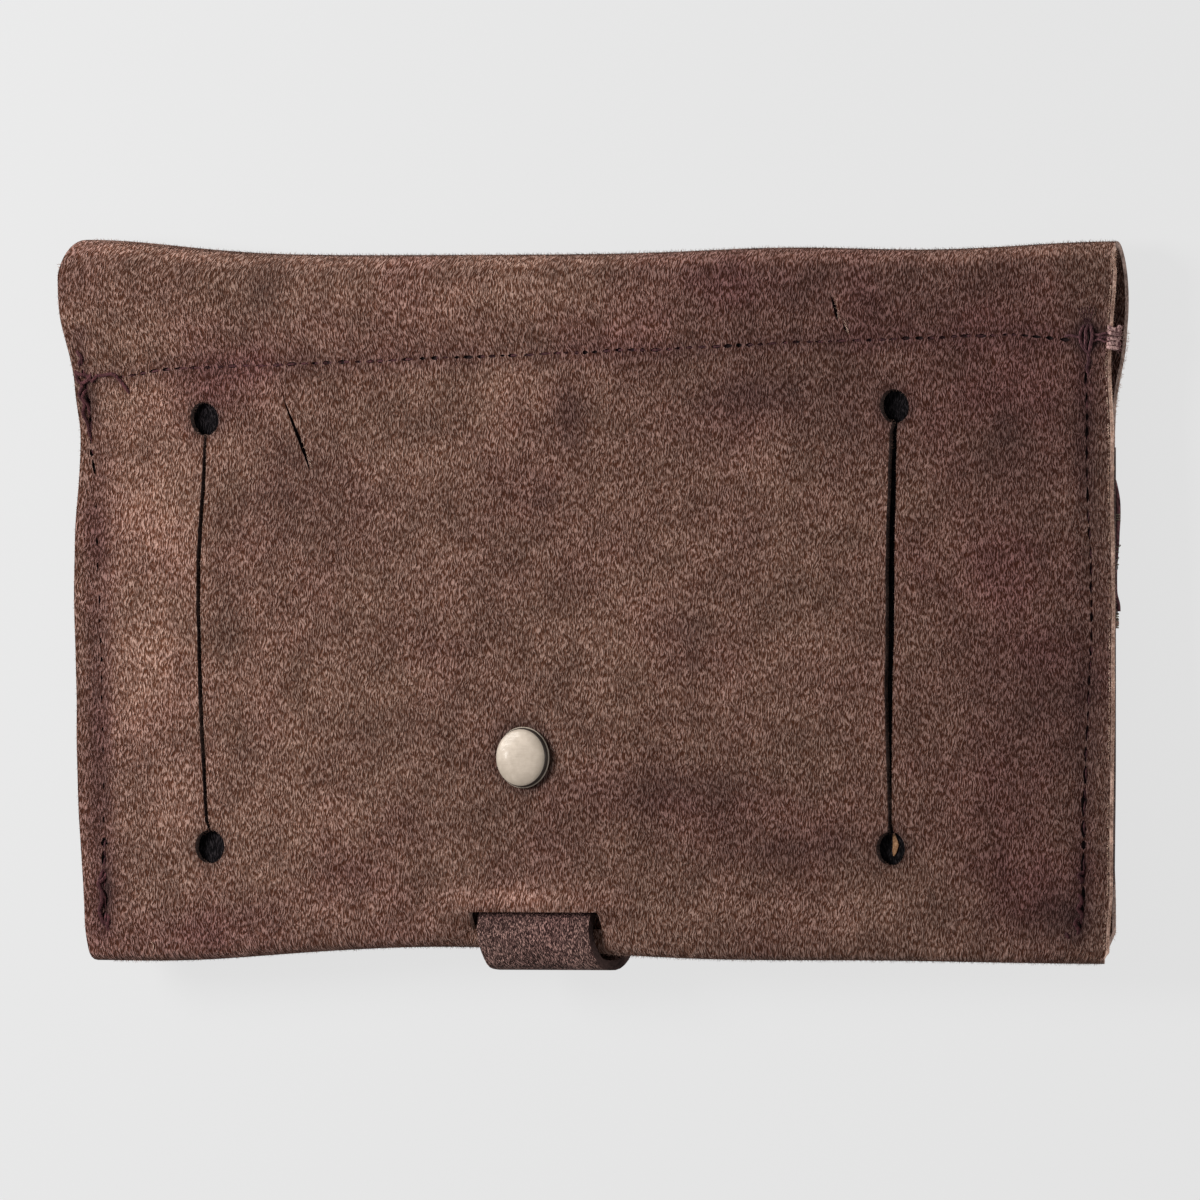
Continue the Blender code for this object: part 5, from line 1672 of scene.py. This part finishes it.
def fringe(bm, tufts, place, along, outward):
    """One tuft at a place on an edge that runs along, its needles pointing outward."""
    out = Vector(outward)
    across = along.cross(out).normalized()
    axes = Matrix((along.normalized(), across, out.normalized())).transposed().to_4x4()
    flip = Matrix.Rotation(math.pi * random.randint(0, 1), 4, "Z")
    stamp(bm, random.choice(tufts), Matrix.Translation(place) @ axes @ flip)


def run_up(start, end, step):
    """Even places from start to end, in mm, about a step apart. They come out in metres."""
    start, end = start * MM, end * MM
    count = max(1, round((end - start) / (step * MM)))
    return [start + (end - start) * (k + 0.5) / count for k in range(count)]


# %% Fringe along the right edges
# The back's cut edge has tufts all along, and in most places more on its upper lip. The flap's has
# shorter ones where the bead strip leaves it free.
edge_bm, nap_bm = bmesh.new(), bmesh.new()
for y in run_up(3, 144, 0.55):
    edge = right_edge(y)
    z = back_point(edge, y).z - LEATHER / 2
    fringe(edge_bm, long_tufts, (edge - 0.10 * MM, y, z), ALONG_Y, (1, 0, 0.10))
    if wobble(y, 4 * MM, 71) > -0.25:
        fringe(edge_bm, lip_tufts, (edge - 0.15 * MM, y, z + 0.40 * MM), ALONG_Y, (0.8, 0, 0.6))
    above_strip = y > STRIP_BOTTOM + STRIP_HEIGHT + 1 * MM
    if (FLAP_END + 2 * MM < y < STRIP_BOTTOM - 1 * MM or above_strip) and y < TOP - FOLD_LOWEST:
        level = FLAP_MID
        if y >= TOP - FOLD_PINCH:
            climb = ramp(-y, -TOP + FOLD_LOWEST, -TOP + FOLD_PINCH)
            level = FOLD_LOW_MID + (FLAP_MID - FOLD_LOW_MID) * climb
        flap_edge = edge - flap_inset(y)
        fringe(edge_bm, short_tufts, (flap_edge - 0.1 * MM, y, level), ALONG_Y, (1, 0, 0.10))

# %% Nap past the silhouette
for y in run_up(5, 142, 0.7):
    z = back_point(left_edge(y), y).z - LEATHER / 2
    fringe(nap_bm, nap_tufts, (left_edge(y) + 0.20 * MM, y, z), ALONG_Y, (-1, 0, 0.10))
for x in run_up(-118.5, 122, 0.62):
    top = (x, top_line(x) - 0.22 * MM, BACK_MID + fold_raise(x) - 3.6 * MM)
    fringe(nap_bm, nap_tufts, top, ALONG_X, (0, 1, 0.3))
    if abs(x - STRAP_X) > STRAP_WIDTH / 2 + 1.5 * MM and -115 * MM < x < 119 * MM:
        foot = (x, bottom_line(x) + 0.22 * MM, (BACK_MID + POCKET_MID) / 2 + 0.5 * MM)
        fringe(nap_bm, nap_tufts, foot, ALONG_X, (0, -1, 0.2))

# %% Raised fibres at the slash, the tears and one loose end
for points, side, first in ((SLASH, 0.55, 3), (TEARS[0], 0.5, 0), (TEARS[1], 0.4, 0)):
    for a, b in zip(points[first:], points[first + 1:]):
        along = (b - a).normalized()
        for k in range(3):
            at = (a.lerp(b, (k + 0.5) / 3) + Vector((-along.y, along.x)) * side) * MM
            fringe(edge_bm, short_tufts, back_point(at.x, at.y, -0.05 * MM), along.to_3d(),
                   (-0.6, 0.1, 0.6))
LOOSE_END = ((-104.9, 3.7), (-104.4, 3.2), (-104.3, 2.5), (-104.6, 1.9))
run_thread(edge_bm, [back_point(x * MM, y * MM, 0.15 * MM) for x, y in LOOSE_END], 0.15 * MM, sides=4)
place_piece("edge_fuzz", edge_bm, [CUT_EDGE], smooth_shading=False)
place_piece("silhouette_nap", nap_bm, [BROWN_FUZZ], smooth_shading=False)

# %% Fluff inside the slits
lip_bm = bmesh.new()
for seed, slit in enumerate(SLITS.values()):
    outline = [Vector(point) for point in keyhole_outline(slit, 11 + seed)]
    for a, b in zip(outline, outline[1:] + outline[:1]):
        along = b - a
        inward = Vector((-along.y, along.x, 0)).normalized()
        count = max(1, round(along.length / (1.0 * MM)))
        for k in range(count):
            at = a.lerp(b, (k + random.random()) / count)
            place = back_point(at.x, at.y, -0.35 * MM) - inward * 0.05 * MM
            fringe(lip_bm, short_tufts, place, along.to_3d(), inward + Vector((0, 0, 0.5)))
place_piece("slit_fuzz", lip_bm, [BROWN_FUZZ], smooth_shading=False)
